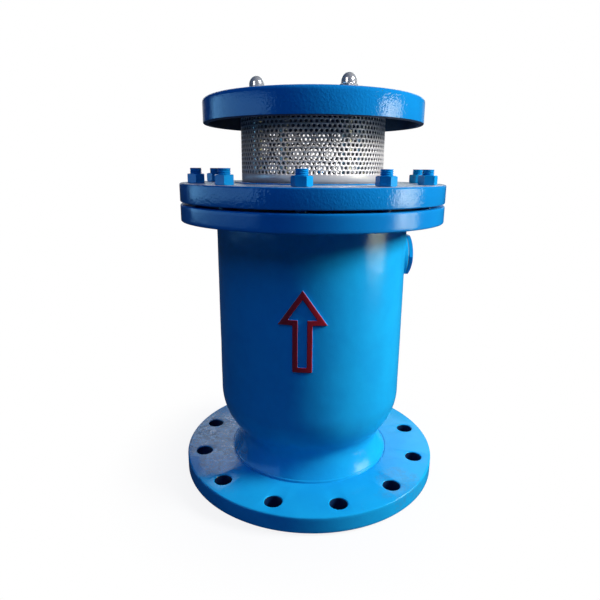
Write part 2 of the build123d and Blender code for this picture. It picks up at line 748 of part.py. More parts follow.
# Float ball: two thin shells welded at the equator, hollow, with a threaded boss on top
float_r = float_d / 2
with BuildPart() as float_ball:
    with BuildSketch(Plane.XZ) as section:
        with Locations((0, float_centre)):
            Circle(float_r)
            with Locations((float_r, 0)):
                Rectangle(2 * float_seam_proud, float_seam_w)
            Circle(float_r - float_wall, mode=Mode.SUBTRACT)
        with Locations((0, float_boss_top)):
            Rectangle(
                float_boss_d / 2,
                float_boss_h + float_boss_inner,
                align=(Align.MIN, Align.MAX),
            )
        with Locations((0, float_boss_top)):
            Rectangle(
                rod_thread_d / 2 + thread_clearance,
                float_boss_top - rod_foot_z,
                align=(Align.MIN, Align.MAX),
                mode=Mode.SUBTRACT,
            )
        with Locations((0, float_centre)):
            Rectangle(2 * float_d, 2 * float_d, align=(Align.MAX, Align.CENTER), mode=Mode.SUBTRACT)
    revolve(axis=Axis.Z)
float_ball.part.label = "float_ball"

pieces = [
    valve_body,
    side_plug,
    plug_seal,
    body_gasket,
    bonnet,
    bonnet_studs,
    bonnet_nuts,
    outlet_screen,
    cap,
    cap_studs,
    cap_nuts,
    seat_gasket,
    seat_ring,
    seat_screws,
    guide_rods,
    cage_foot,
    guide_bush,
    main_disc,
    disc_seal,
    seal_retainer,
    stem,
    stop_washer,
    stop_nut,
    lock_nut,
    orifice_nozzle,
    pilot_housing,
    float_rod,
    pilot_pad,
    rod_nut,
    float_ball,
]

os.makedirs("parts", exist_ok=True)
for piece in pieces:
    export_step(piece.part, f"parts/{piece.part.label}.step")
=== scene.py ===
"""Looks of a flanged quick exhaust valve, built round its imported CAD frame."""

from __future__ import annotations

import json
import logging
import math
from dataclasses import dataclass
from enum import Enum
from typing import Callable, Sequence

import bmesh
import bpy
from mathutils import Matrix, Vector, geometry, noise

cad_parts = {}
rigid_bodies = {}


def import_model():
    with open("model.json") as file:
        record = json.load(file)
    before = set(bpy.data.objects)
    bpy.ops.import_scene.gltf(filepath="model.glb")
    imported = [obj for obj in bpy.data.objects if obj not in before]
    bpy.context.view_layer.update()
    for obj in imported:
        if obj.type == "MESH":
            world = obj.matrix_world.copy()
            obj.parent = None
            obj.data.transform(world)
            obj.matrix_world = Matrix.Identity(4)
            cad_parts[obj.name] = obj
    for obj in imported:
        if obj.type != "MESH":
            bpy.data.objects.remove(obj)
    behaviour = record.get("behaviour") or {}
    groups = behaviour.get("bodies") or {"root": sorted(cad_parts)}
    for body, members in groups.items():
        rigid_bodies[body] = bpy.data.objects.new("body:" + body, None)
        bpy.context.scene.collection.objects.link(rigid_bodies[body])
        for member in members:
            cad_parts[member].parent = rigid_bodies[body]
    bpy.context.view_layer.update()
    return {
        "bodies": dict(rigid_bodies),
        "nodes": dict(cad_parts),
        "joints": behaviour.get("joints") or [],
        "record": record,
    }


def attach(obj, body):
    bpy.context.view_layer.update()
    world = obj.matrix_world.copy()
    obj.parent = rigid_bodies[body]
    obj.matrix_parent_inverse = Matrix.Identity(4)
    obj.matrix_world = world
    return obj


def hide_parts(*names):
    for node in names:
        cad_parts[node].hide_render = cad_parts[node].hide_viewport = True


LOG = logging.getLogger("valve")
MM = 0.001
FULL_TURN = 2 * math.pi
MERGE = 1e-6
WELD = 1e-5
LARGE_ROUND = 240

Colour = tuple[float, float, float]
Point = tuple[float, float, float]
Value = float | Colour | bpy.types.NodeSocket


class Carrier(Enum):
    """The CAD body that a piece rides on."""

    BASE = "base"
    DISC = "disc"
    FLOAT = "float"


class Lay(Enum):
    """The way the fine lines run on machined metal."""

    TURNED = "turned"
    DRAWN = "drawn"
    SPUN = "spun"


# Node graphs


class Graph:
    """A node tree that is filled in call by call."""

    def __init__(self, tree: bpy.types.NodeTree) -> None:
        """Keep the tree that the calls fill in.

        Args:
            tree: The node tree of a material, a world or a group.
        """
        self.tree = tree

    def node(self, kind: str, values: dict | None = None, **settings) -> bpy.types.Node:
        """Add a node.

        Args:
            kind: The node's type, such as ShaderNodeMath.
            values: Input names or indices with a number, a colour or a socket to link.
            settings: Attributes set on the node itself.

        Returns:
            The new node.
        """
        made = self.tree.nodes.new(kind)
        for key, value in settings.items():
            setattr(made, key, value)
        for key, value in (values or {}).items():
            self.feed(made.inputs[key], value)
        return made

    def feed(self, socket: bpy.types.NodeSocket, value: Value) -> None:
        """Set a socket's value, or link it where the value is a socket.

        Args:
            socket: The input.
            value: A number, a colour, a vector or another node's output.
        """
        if isinstance(value, bpy.types.NodeSocket):
            self.tree.links.new(value, socket)
        elif isinstance(value, tuple) and socket.type == "RGBA" and len(value) == 3:
            socket.default_value = (*value, 1.0)
        else:
            socket.default_value = value

    def math(self, operation: str, a: Value, b: Value = 0.0, clamp: bool = False) -> bpy.types.NodeSocket:
        """Add a Math node.

        Args:
            operation: The node's operation.
            a: First number or socket.
            b: Second number or socket.
            clamp: Whether the result stays between 0 and 1.

        Returns:
            The node's output.
        """
        return self.node("ShaderNodeMath", {0: a, 1: b}, operation=operation, use_clamp=clamp).outputs[0]

    def mix(self, factor: Value, a: Value, b: Value) -> bpy.types.NodeSocket:
        """Mix two colours.

        Args:
            factor: Share of the second colour.
            a: First colour or socket.
            b: Second colour or socket.

        Returns:
            The mixed colour's socket.
        """
        made = self.node("ShaderNodeMix", data_type="RGBA")
        self.feed(made.inputs[0], factor)
        self.feed(made.inputs[6], a)
        self.feed(made.inputs[7], b)
        return made.outputs[2]

    def step(
        self, value: Value, low: float, high: float, to: tuple[float, float] = (0.0, 1.0)
    ) -> bpy.types.NodeSocket:
        """Map a value smoothly from one range to another.

        Args:
            value: The socket that is mapped.
            low: Input that gives the first result.
            high: Input that gives the second result.
            to: The two results.

        Returns:
            The mapped value's socket.
        """
        return self.node(
            "ShaderNodeMapRange",
            {"Value": value, "From Min": low, "From Max": high, "To Min": to[0], "To Max": to[1]},
            interpolation_type="SMOOTHSTEP",
        ).outputs[0]

    def noise(
        self, vector: Value, scale: float, detail: float = 2.0, rough: float = 0.5
    ) -> bpy.types.NodeSocket:
        """Add a Noise Texture.

        Args:
            vector: The coordinates' socket.
            scale: Waves for each metre.
            detail: Octaves.
            rough: Share of the fine octaves.

        Returns:
            The noise's value.
        """
        return self.node(
            "ShaderNodeTexNoise", {"Vector": vector, "Scale": scale, "Detail": detail, "Roughness": rough}
        ).outputs[0]

    def reach(self, x: Value, y: Value) -> bpy.types.NodeSocket:
        """Return the socket with the distance from the Z axis of a point at X and Y."""
        return self.math("SQRT", self.math("ADD", self.math("MULTIPLY", x, x), self.math("MULTIPLY", y, y)))

    def bump(self, shader: bpy.types.Node, height: Value, strength: float, distance: float) -> None:
        """Feed a height to a shader's normal.

        Args:
            shader: The shader.
            height: The height's socket.
            strength: Strength of the bump.
            distance: Depth in metres that the height stands for.
        """
        made = self.node("ShaderNodeBump", {"Strength": strength, "Distance": distance, "Height": height})
        self.feed(shader.inputs["Normal"], made.outputs[0])

    def parts(self, vector: Value) -> tuple[bpy.types.NodeSocket, ...]:
        """Return the X, Y and Z sockets of a vector."""
        return tuple(self.node("ShaderNodeSeparateXYZ", {0: vector}).outputs)


class Effects:
    """Shader node groups that several finishes share, each made when it is first asked for.

    The scales are in waves for each metre.
    """

    peel_scale = 420.0
    lump_scale = 60.0
    nib_scale = 130.0
    tone_scale = 26.0
    warp_scale = 70.0
    warp = 0.012

    def __init__(self) -> None:
        """Start with no group made."""
        self.made: dict[str, bpy.types.NodeTree] = {}

    def place(self, graph: Graph, name: str, values: dict) -> bpy.types.Node:
        """Put one of the groups into a material.

        Args:
            graph: The material's graph.
            name: The name of the method that makes the group.
            values: Values or sockets for the group's inputs.

        Returns:
            The group node.
        """
        if name not in self.made:
            self.made[name] = getattr(self, name)(bpy.data.node_groups.new(name, "ShaderNodeTree"))
        return graph.node("ShaderNodeGroup", values, node_tree=self.made[name])

    @staticmethod
    def sockets(tree: bpy.types.NodeTree, inputs: dict[str, float], outputs: Sequence[str]) -> tuple:
        """Give a group its sockets.

        Args:
            tree: The group.
            inputs: Names and defaults of the number inputs; a vector input comes first.
            outputs: Names of the outputs, all numbers.

        Returns:
            The group's input node and output node.
        """
        tree.interface.new_socket("Vector", in_out="INPUT", socket_type="NodeSocketVector")
        for name, default in inputs.items():
            made = tree.interface.new_socket(name, in_out="INPUT", socket_type="NodeSocketFloat")
            made.default_value = default
        for name in outputs:
            tree.interface.new_socket(name, in_out="OUTPUT", socket_type="NodeSocketFloat")
        return tree.nodes.new("NodeGroupInput"), tree.nodes.new("NodeGroupOutput")

    def enamel(self, tree: bpy.types.NodeTree) -> bpy.types.NodeTree:
        """Surface of sprayed gloss enamel: casting lumps, orange peel and uneven thickness.

        Args:
            tree: The empty group.

        Returns:
            The filled group.
        """
        g = Graph(tree)
        source, out = self.sockets(tree, {"Peel": 1.0, "Lumps": 1.0, "Nibs": 1.0}, ("Height", "Tone"))
        at = source.outputs["Vector"]
        peel = g.math("MULTIPLY", g.noise(at, self.peel_scale, 1.0), source.outputs["Peel"])
        lumps = g.math("MULTIPLY", g.noise(at, self.lump_scale, 3.0, 0.45), source.outputs["Lumps"])
        cells = g.node("ShaderNodeTexVoronoi", {"Vector": at, "Scale": self.nib_scale}).outputs["Distance"]
        nibs = g.math("MULTIPLY", g.step(cells, 0.16, 0.04), source.outputs["Nibs"])
        g.feed(out.inputs["Height"], g.math("ADD", g.math("ADD", peel, lumps), nibs))
        g.feed(out.inputs["Tone"], g.step(g.noise(at, self.tone_scale, 4.0, 0.6), 0.35, 0.7))
        return tree

    def dust(self, tree: bpy.types.NodeTree) -> bpy.types.NodeTree:
        """Dust that settles on faces that look up, in uneven patches.

        Args:
            tree: The empty group.

        Returns:
            The filled group.
        """
        g = Graph(tree)
        source, out = self.sockets(tree, {"Amount": 0.5, "Scale": 40.0}, ("Mask",))
        at = source.outputs["Vector"]
        up = g.parts(g.node("ShaderNodeNewGeometry").outputs["Normal"])[2]
        patches = g.noise(at, source.outputs["Scale"], 6.0, 0.65)
        cover = g.math("MULTIPLY", g.step(up, 0.6, 0.95), g.step(patches, 0.38, 0.72))
        g.feed(out.inputs["Mask"], g.math("MULTIPLY", cover, source.outputs["Amount"], clamp=True))
        return tree

    def crackle(self, tree: bpy.types.NodeTree) -> bpy.types.NodeTree:
        """Broken hairlines where paint was rubbed or a wet edge dried.

        Args:
            tree: The empty group.

        Returns:
            The filled group.
        """
        g = Graph(tree)
        source, out = self.sockets(tree, {"Scale": 70.0, "Width": 0.06}, ("Mask",))
        at = source.outputs["Vector"]
        waves = g.node("ShaderNodeTexNoise", {"Vector": at, "Scale": self.warp_scale, "Detail": 3.0})
        shift = {0: waves.outputs["Color"], 1: (self.warp,) * 3}
        moved = g.node("ShaderNodeVectorMath", shift, operation="MULTIPLY").outputs[0]
        bent = g.node("ShaderNodeVectorMath", {0: at, 1: moved}, operation="ADD").outputs[0]
        mesh = {"Vector": bent, "Scale": source.outputs["Scale"]}
        cells = g.node("ShaderNodeTexVoronoi", mesh, feature="DISTANCE_TO_EDGE").outputs["Distance"]
        thin = g.math("LESS_THAN", cells, source.outputs["Width"])
        gaps = g.step(g.noise(at, 260.0, 2.0), 0.50, 0.56)
        broken = g.math("MULTIPLY", gaps, g.step(g.noise(at, 60.0, 2.0), 0.50, 0.62))
        specks = g.step(g.noise(at, 620.0, 1.0), 0.70, 0.74)
        g.feed(out.inputs["Mask"], g.math("MAXIMUM", g.math("MULTIPLY", thin, broken), specks))
        return tree

    def lines(self, tree: bpy.types.NodeTree) -> bpy.types.NodeTree:
        """Fine uneven tool lines across one coordinate, with the first input as that coordinate.

        Args:
            tree: The empty group.

        Returns:
            The filled group.
        """
        g = Graph(tree)
        source, out = self.sockets(tree, {"Across": 0.0, "Pitch": 900.0}, ("Height", "Tone"))
        across = g.math("MULTIPLY", source.outputs["Across"], source.outputs["Pitch"])
        wander = g.math("MULTIPLY", g.noise(source.outputs["Vector"], 30.0), 0.6)
        at = g.node("ShaderNodeCombineXYZ", {0: g.math("ADD", across, wander)}).outputs[0]
        fine = g.noise(at, 1.0, 3.0, 0.7)
        g.feed(out.inputs["Height"], fine)
        g.feed(out.inputs["Tone"], g.step(fine, 0.3, 0.7))
        return tree


EFFECTS = Effects()


# Finishes


def new_material(name: str) -> tuple[bpy.types.Material, Graph, bpy.types.Node, bpy.types.NodeSocket]:
    """Start a material.

    Args:
        name: The material's name.

    Returns:
        The material, its graph, its Principled BSDF and the Object coordinates.
    """
    made = bpy.data.materials.new(name)
    made.use_nodes = True
    graph = Graph(made.node_tree)
    shader = made.node_tree.nodes["Principled BSDF"]
    return made, graph, shader, graph.node("ShaderNodeTexCoord").outputs["Object"]


@dataclass(frozen=True)
class Patch:
    """A worn place with dust on a painted face, in metres; its grey colour is partly painted sheen."""

    at: Point
    reach: float
    strength: float = 1.0


@dataclass(frozen=True)
class Enamel:
    """Gloss enamel over a casting or a machined flange."""

    name: str
    colour: Colour = (0.009, 0.375, 0.72)
    deep: Colour = (0.004, 0.26, 0.60)
    roughness: float = 0.15
    specular: float = 0.24
    peel: float = 0.35
    lumps: float = 0.5
    nibs: float = 0.0
    relief: float = 0.35
    dust: float = 0.0
    dust_colour: Colour = (0.36, 0.42, 0.50)
    turned: bool = False
    rim: tuple[float, float] = (0.0, 0.0)
    rim_colour: Colour = (0.005, 0.21, 0.54)
    # Grey of the worn places: wear and dust, partly painted sheen.
    rubbed_sheen_colour: Colour = (0.095, 0.115, 0.115)
    streak_colour: Colour = (0.75, 0.85, 0.90)
    patches: tuple[Patch, ...] = ()

    def worn(self, g: Graph, at: bpy.types.NodeSocket) -> Value:
        """Mark the worn places, whose grey colour is partly painted sheen.

        Args:
            g: The material's graph.
            at: The Object coordinates.

        Returns:
            How worn the skin is, from 0 to 1.
        """
        mask = 0.0
        wander = g.math("MULTIPLY", g.math("SUBTRACT", g.noise(at, 30.0, 5.0, 0.62), 0.5), 0.07)
        for patch in self.patches:
            away = g.node("ShaderNodeVectorMath", {0: at, 1: patch.at}, operation="DISTANCE")
            edge = g.math("ADD", away.outputs["Value"], wander)
            near = g.step(edge, patch.reach, patch.reach * 0.6, (0.0, patch.strength))
            mask = g.math("MAXIMUM", mask, near)
        return mask

    def build(self) -> bpy.types.Material:
        """Return the finish as a material."""
        made, g, shader, at = new_material(self.name)
        x, y, z = g.parts(at)
        coat = {"Vector": at, "Peel": self.peel, "Lumps": self.lumps, "Nibs": self.nibs}
        skin = EFFECTS.place(g, "enamel", coat)
        settled = EFFECTS.place(g, "dust", {"Vector": at, "Amount": self.dust}).outputs["Mask"]
        height = skin.outputs["Height"]
        tone = skin.outputs["Tone"]
        colour = self.colour
        if self.rim[1]:
            low, high = self.rim
            band = g.math("MULTIPLY", g.step(z, low - 0.002, low), g.step(z, high + 0.002, high))
            colour = g.mix(band, self.colour, self.rim_colour)
        blue = g.mix(g.math("MULTIPLY", tone, 0.3), colour, self.deep)
        worn = self.worn(g, at)
        rubbed_sheen = g.math("MULTIPLY", worn, g.step(g.noise(at, 190.0, 6.0, 0.75), 0.40, 0.60))
        crackle = EFFECTS.place(g, "crackle", {"Vector": at}).outputs["Mask"]
        streaks = g.math("MULTIPLY", crackle, g.math("POWER", worn, 3.0))
        if self.turned or self.patches:
            rings = EFFECTS.place(g, "lines", {"Vector": at, "Across": g.reach(x, y), "Pitch": 900.0})
            depth = g.math("ADD", g.math("MULTIPLY", worn, 1.1), 0.25 if self.turned else 0.0)
            height = g.math("ADD", height, g.math("MULTIPLY", rings.outputs["Height"], depth))
            rubbed_sheen = g.math("MULTIPLY", rubbed_sheen, g.step(rings.outputs["Tone"], 0.0, 1.0, (0.55, 1.0)))
        skin_colour = g.mix(settled, blue, self.dust_colour)
        # Grey in the worn places: wear and dust, partly painted sheen of a greyish reflection.
        skin_colour = g.mix(g.math("MULTIPLY", rubbed_sheen, 0.8), skin_colour, self.rubbed_sheen_colour)
        g.feed(shader.inputs["Base Color"], g.mix(streaks, skin_colour, self.streak_colour))
        dull = g.math("ADD", g.math("MULTIPLY", settled, 0.45), g.math("MULTIPLY", rubbed_sheen, 0.22))
        gloss = g.step(tone, 0.0, 1.0, (self.roughness, self.roughness + 0.05))
        g.feed(shader.inputs["Roughness"], g.math("ADD", dull, gloss))
        shine = g.step(worn, 0.0, 1.0, (self.specular, self.specular + 0.5))
        g.feed(shader.inputs["Specular IOR Level"], shine)
        g.bump(shader, height, self.relief, 0.0006)
        return made


@dataclass(frozen=True)
class Metal:
    """Bare metal with tool lines and slight stains."""

    name: str
    colour: Colour = (0.62, 0.61, 0.60)
    stain: Colour = (0.42, 0.40, 0.38)
    roughness: float = 0.28
    lay: Lay = Lay.TURNED
    pitch: float = 1500.0
    relief: float = 0.15
    stained: float = 0.35
    metallic: float = 1.0

    def build(self) -> bpy.types.Material:
        """Return the finish as a material."""
        made, g, shader, at = new_material(self.name)
        x, y, z = g.parts(at)
        across = z
        if self.lay is Lay.TURNED:
            across = g.math("ADD", g.reach(x, y), g.math("MULTIPLY", z, 0.9))
        elif self.lay is Lay.DRAWN:
            across = g.math("ADD", x, g.math("MULTIPLY", y, 1.3))
        grain = EFFECTS.place(g, "lines", {"Vector": at, "Across": across, "Pitch": self.pitch})
        patches = g.step(g.noise(at, 45.0, 5.0, 0.6), 0.45, 0.75)
        stains = g.math("MULTIPLY", patches, self.stained)
        g.feed(shader.inputs["Base Color"], g.mix(stains, self.colour, self.stain))
        shader.inputs["Metallic"].default_value = self.metallic
        rough = g.math("MULTIPLY", grain.outputs["Tone"], 0.12)
        dull = g.step(patches, 0.0, 1.0, (self.roughness, self.roughness + 0.1))
        g.feed(shader.inputs["Roughness"], g.math("ADD", rough, dull))
        g.bump(shader, grain.outputs["Height"], self.relief, 0.0002)
        return made


@dataclass(frozen=True)
class Compound:
    """Rubber, fibre or nylon: dull, with a fine grain and a bloom of dust."""

    name: str
    colour: Colour = (0.02, 0.02, 0.022)
    bloom: Colour = (0.07, 0.07, 0.07)
    roughness: float = 0.6
    grain: float = 900.0

    def build(self) -> bpy.types.Material:
        """Return the finish as a material."""
        made, g, shader, at = new_material(self.name)
        specks = g.noise(at, self.grain, 3.0, 0.6)
        patches = g.step(g.noise(at, 60.0, 4.0, 0.6), 0.4, 0.75)
        bloomed = g.math("MULTIPLY", patches, 0.6)
        g.feed(shader.inputs["Base Color"], g.mix(bloomed, self.colour, self.bloom))
        rough = g.step(specks, 0.2, 0.8, (self.roughness - 0.06, self.roughness + 0.12))
        g.feed(shader.inputs["Roughness"], rough)
        g.bump(shader, specks, 0.3, 0.0002)
        return made


# Meshes


def all_of(bm: bmesh.types.BMesh) -> list:
    """Return a mesh's vertices, edges and faces."""
    return bm.verts[:] + bm.edges[:] + bm.faces[:]


def only(kind: type, geom: Sequence) -> list:
    """Return the members of one kind, such as BMVert, from an operator's result."""
    return [part for part in geom if isinstance(part, kind)]


def soften(
    bm: bmesh.types.BMesh, geom: Sequence, size: float, affect: str = "EDGES", segments: int = 3
) -> None:
    """Round edges or corners.

    Args:
        bm: The mesh.
        geom: Its edges or corners.
        size: Radius in millimetres.
        affect: EDGES or VERTICES.
        segments: Straight pieces in each round.
    """
    bmesh.ops.bevel(
        bm,
        geom=geom,
        offset=size * MM,
        offset_type="OFFSET",
        affect=affect,
        segments=segments,
        profile=0.5,
        material=-1,
        clamp_overlap=True,
    )


def sweep(bm: bmesh.types.BMesh, geom: Sequence, angle: float, steps: int, **settings) -> None:
    """Turn part of a mesh round Z.

    Args:
        bm: The mesh.
        geom: The part that is turned.
        angle: The whole turn in radians.
        steps: The number of steps.
        settings: Further settings of the spin operator.
    """
    bmesh.ops.spin(bm, geom=geom, cent=(0, 0, 0), axis=(0, 0, 1), angle=angle, steps=steps, **settings)


class Section:
    """Half section of a turned piece, drawn in millimetres as radius and height, and spun round Z."""

    def __init__(self, r: float, z: float, soft: float = 0.0) -> None:
        """Start the outline.

        Args:
            r: Radius of the first corner.
            z: Height of the first corner.
            soft: Radius that rounds the corner.
        """
        self.bm = bmesh.new()
        self.rounds: list[tuple[bmesh.types.BMVert, float]] = []
        self.first = self.last = self.bm.verts.new((r * MM, 0.0, z * MM))
        if soft:
            self.rounds.append((self.first, soft))

    def to(self, r: float, z: float, soft: float = 0.0) -> Section:
        """Draw a straight line.

        Args:
            r: Radius of the line's end.
            z: Height of the line's end.
            soft: Radius that rounds the corner at the end.

        Returns:
            The section itself.
        """
        made = self.bm.verts.new((r * MM, 0.0, z * MM))
        self.bm.edges.new((self.last, made))
        self.last = made
        if soft:
            self.rounds.append((made, soft))
        return self

    def arc(self, r: float, z: float, sweep: float, steps: int = 10) -> Section:
        """Draw an arc by turning the last point round a centre.

        Args:
            r: Radius at which the centre lies.
            z: Height of the centre.
            sweep: Degrees turned, from the radius towards the height.
            steps: Straight pieces in the arc.

        Returns:
            The section itself.
        """
        turned = bmesh.ops.spin(
            self.bm,
            geom=[self.last],
            cent=(r * MM, 0.0, z * MM),
            axis=(0.0, -1.0, 0.0),
            angle=math.radians(sweep),
            steps=steps,
        )
        self.last = only(bmesh.types.BMVert, turned["geom_last"])[0]
        return self

    def wire(self, segments: int = 3) -> bmesh.types.BMesh:
        """Close the outline, round its corners and return it as a wire.

        Args:
            segments: Straight pieces in each rounded corner.

        Returns:
            The mesh with the outline's edges alone.
        """
        bm = self.bm
        bm.edges.new((self.last, self.first))
        bmesh.ops.contextual_create(bm, geom=bm.edges[:])
        for size in sorted({soft for _, soft in self.rounds}):
            corners = [v for v, soft in self.rounds if soft == size and v.is_valid]
            soften(bm, corners, size, "VERTICES", segments)
        bmesh.ops.delete(bm, geom=bm.faces[:], context="FACES_ONLY")
        on_axis = [e for e in bm.edges if all(abs(v.co.x) < MERGE for v in e.verts)]
        bmesh.ops.delete(bm, geom=on_axis, context="EDGES")
        return bm

    def spin(self, steps: int = 96, segments: int = 3, rows: float = 0.0) -> bmesh.types.BMesh:
        """Spin the outline a full turn.

        Args:
            steps: Faces round the axis.
            segments: Straight pieces in each rounded corner.
            rows: Length in millimetres to which upright edges are divided, or 0 for none.

        Returns:
            The closed mesh, its faces pointing outwards.
        """
        bm = self.wire(segments)
        if rows:
            upright = [e for e in bm.edges if abs(e.verts[0].co.x - e.verts[1].co.x) < MERGE]
            for edge in [e for e in upright if e.calc_length() > 3 * rows * MM]:
                bmesh.ops.subdivide_edges(bm, edges=[edge], cuts=int(edge.calc_length() / (rows * MM)))
        sweep(bm, bm.verts[:] + bm.edges[:], FULL_TURN, steps, use_merge=True)
        bmesh.ops.remove_doubles(bm, verts=bm.verts[:], dist=MERGE)
        bmesh.ops.recalc_face_normals(bm, faces=bm.faces[:])
        return bm


def turned_by(centre: Vector, start: Vector, end: Vector) -> float:
    """Return the degrees from one point to another round a centre, radius towards height being positive."""
    a, b = start - centre, end - centre
    return math.degrees(math.atan2(a.cross(b), a.dot(b)))


def slice_off(bm: bmesh.types.BMesh, at: Vector, out: Vector) -> None:
    """Cut away what lies beyond a plane, and close the cut.

    Args:
        bm: The mesh.
        at: A point on the plane.
        out: The direction of what is cut away.
    """
    cut = bmesh.ops.bisect_plane(bm, geom=all_of(bm), plane_co=at, plane_no=out, clear_outer=True)
    bmesh.ops.contextual_create(bm, geom=only(bmesh.types.BMEdge, cut["geom_cut"]))


def trim_hexagon(bm: bmesh.types.BMesh, across: float) -> None:
    """Cut a turned blank to a hexagon, so that its chamfer curves run onto the flats.

    Args:
        bm: The blank, its axis on Z.
        across: Size across flats in millimetres.
    """
    for side in range(6):
        angle = math.radians(60 * side)
        out = Vector((math.cos(angle), math.sin(angle), 0.0))
        slice_off(bm, out * across / 2 * MM, out)
    bmesh.ops.recalc_face_normals(bm, faces=bm.faces[:])


def join(bm: bmesh.types.BMesh, other: bmesh.types.BMesh) -> None:
    """Add one mesh to another.

    Args:
        bm: The mesh that grows.
        other: The mesh that is added, which is used up.
    """
    mesh = bpy.data.meshes.new("joined")
    other.to_mesh(mesh)
    other.free()
    bm.from_mesh(mesh)
    bpy.data.meshes.remove(mesh)


def copies(bm: bmesh.types.BMesh, places: Sequence[Matrix]) -> bmesh.types.BMesh:
    """Repeat a mesh.

    Args:
        bm: The mesh, which is used up.
        places: A transform for each copy.

    Returns:
        One mesh with all the copies.
    """
    single = bpy.data.meshes.new("single")
    bm.to_mesh(single)
    bm.free()
    whole = bmesh.new()
    for place in places:
        start = len(whole.verts)
        whole.from_mesh(single)
        whole.verts.ensure_lookup_table()
        bmesh.ops.transform(whole, matrix=place, verts=whole.verts[start:])
    bpy.data.meshes.remove(single)
    return whole


def circle(
    pitch_d: float, count: int, start: float, z: float, turns: Sequence[float] = (0.0,)
) -> list[Matrix]:
    """Stand copies on a pitch circle.

    Args:
        pitch_d: Diameter of the circle in millimetres.
        count: Number of copies.
        start: Angle of the first copy in degrees.
        z: Height in millimetres.
        turns: Degrees each copy is turned on its own axis, used in rotation.

    Returns:
        A transform for each copy.
    """
    made = []
    for i in range(count):
        round_z = Matrix.Rotation(math.radians(start + 360 * i / count), 4, "Z")
        own = Matrix.Rotation(math.radians(turns[i % len(turns)]), 4, "Z")
        made.append(round_z @ Matrix.Translation((pitch_d / 2 * MM, 0.0, z * MM)) @ own)
    return made


def finish_piece(
    bm: bmesh.types.BMesh,
    name: str,
    material: bpy.types.Material,
    carrier: Carrier,
    stands_for: Sequence[str] = (),
    sharp: float = 32.0,
    bevel: float = 0.0,
) -> bpy.types.Object:
    """Make an object of a mesh, dress it and set it on its body.

    Args:
        bm: The mesh in metres, which is used up.
        name: The piece's name.
        material: Its finish.
        carrier: The body it rides on.
        stands_for: CAD nodes that the piece replaces.
        sharp: Angle in degrees above which an edge is sharp.
        bevel: Width in millimetres to which sharp edges are rounded, or 0.

    Returns:
        The new object.
    """
    mesh = bpy.data.meshes.new(name)
    bm.to_mesh(mesh)
    bm.free()
    mesh.shade_smooth()
    mesh.set_sharp_from_angle(angle=math.radians(sharp))
    mesh.materials.append(material)
    piece = bpy.data.objects.new(name, mesh)
    bpy.context.scene.collection.objects.link(piece)
    if bevel:
        rounding = piece.modifiers.new("paint_thickness", "BEVEL")
        rounding.width = bevel * MM
        rounding.segments = 2
        rounding.limit_method = "ANGLE"
        rounding.angle_limit = math.radians(sharp)
        rounding.harden_normals = True
    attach(piece, carrier.value)
    if stands_for:
        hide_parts(*stands_for)
    LOG.info("%s: %d faces on %s", name, len(mesh.polygons), carrier.value)
    return piece


def second_coat(
    piece: bpy.types.Object, coat: bpy.types.Material, where: Callable[[Vector, Vector], bool]
) -> None:
    """Give some faces of a piece another finish.

    Args:
        piece: The piece.
        coat: The other finish.
        where: Says from a face's centre and normal whether it takes the finish.
    """
    piece.data.materials.append(coat)
    for face in piece.data.polygons:
        if where(face.center, face.normal):
            face.material_index = 1


def subtract(bm: bmesh.types.BMesh, cutters: bmesh.types.BMesh) -> bmesh.types.BMesh:
    """Cut holes.

    Args:
        bm: The mesh that is cut, which is used up.
        cutters: Closed shapes that are taken away, which are used up.

    Returns:
        The cut mesh.
    """
    objects = []
    for label, source in (("blank", bm), ("cutters", cutters)):
        mesh = bpy.data.meshes.new(label)
        source.to_mesh(mesh)
        source.free()
        objects.append(bpy.data.objects.new(label, mesh))
        bpy.context.scene.collection.objects.link(objects[-1])
    blank, tool = objects
    cut = blank.modifiers.new("holes", "BOOLEAN")
    cut.operation = "DIFFERENCE"
    cut.solver = "EXACT"
    cut.object = tool
    result = bmesh.new()
    result.from_mesh(blank.evaluated_get(bpy.context.evaluated_depsgraph_get()).to_mesh())
    for thing in objects:
        mesh = thing.data
        bpy.data.objects.remove(thing)
        bpy.data.meshes.remove(mesh)
    return result


def hole_cutter(radius: float, low: float, high: float, rim: float) -> bmesh.types.BMesh:
    """Make a drill that leaves a rounded rim at both ends.

    Args:
        radius: Radius of the hole in millimetres.
        low: Height of the lower face.
        high: Height of the upper face.
        rim: Radius that rounds the rims.

    Returns:
        The drill's mesh.
    """
    flare, beyond, clear = radius + rim + 0.4, 3, 0.02
    foot, head = low - clear, high + clear
    outline = Section(0, low - beyond).to(flare, low - beyond).to(flare, foot).to(radius, foot, rim)
    outline.to(radius, head, rim).to(flare, head).to(flare, high + beyond).to(0, high + beyond)
    return outline.spin(steps=40, segments=4)


def roughen(
    bm: bmesh.types.BMesh, low: float, high: float, r_min: float, r_max: float, depth: float
) -> None:
    """Push the as-cast skin in and out a little, fading at both ends.

    Args:
        bm: The casting.
        low: Height in millimetres where the skin starts.
        high: Height where it ends.
        r_min: Smallest radius of the skin.
        r_max: Largest radius of the skin.
        depth: Greatest shift in millimetres.
    """
    run_out, coarse, fine, share = 8.0, 28.0, 90.0, 0.45
    apart = Vector((3.1, 0.0, 0.0))
    for v in bm.verts:
        r, z = math.hypot(v.co.x, v.co.y) / MM, v.co.z / MM
        if r_min < r < r_max and low < z < high:
            fade = min(1.0, (z - low) / run_out, (high - z) / run_out)
            wave = noise.noise(v.co * coarse) + share * noise.noise(v.co * fine + apart)
            v.co.xy *= 1.0 + wave * depth * fade / r


# Sub-assemblies


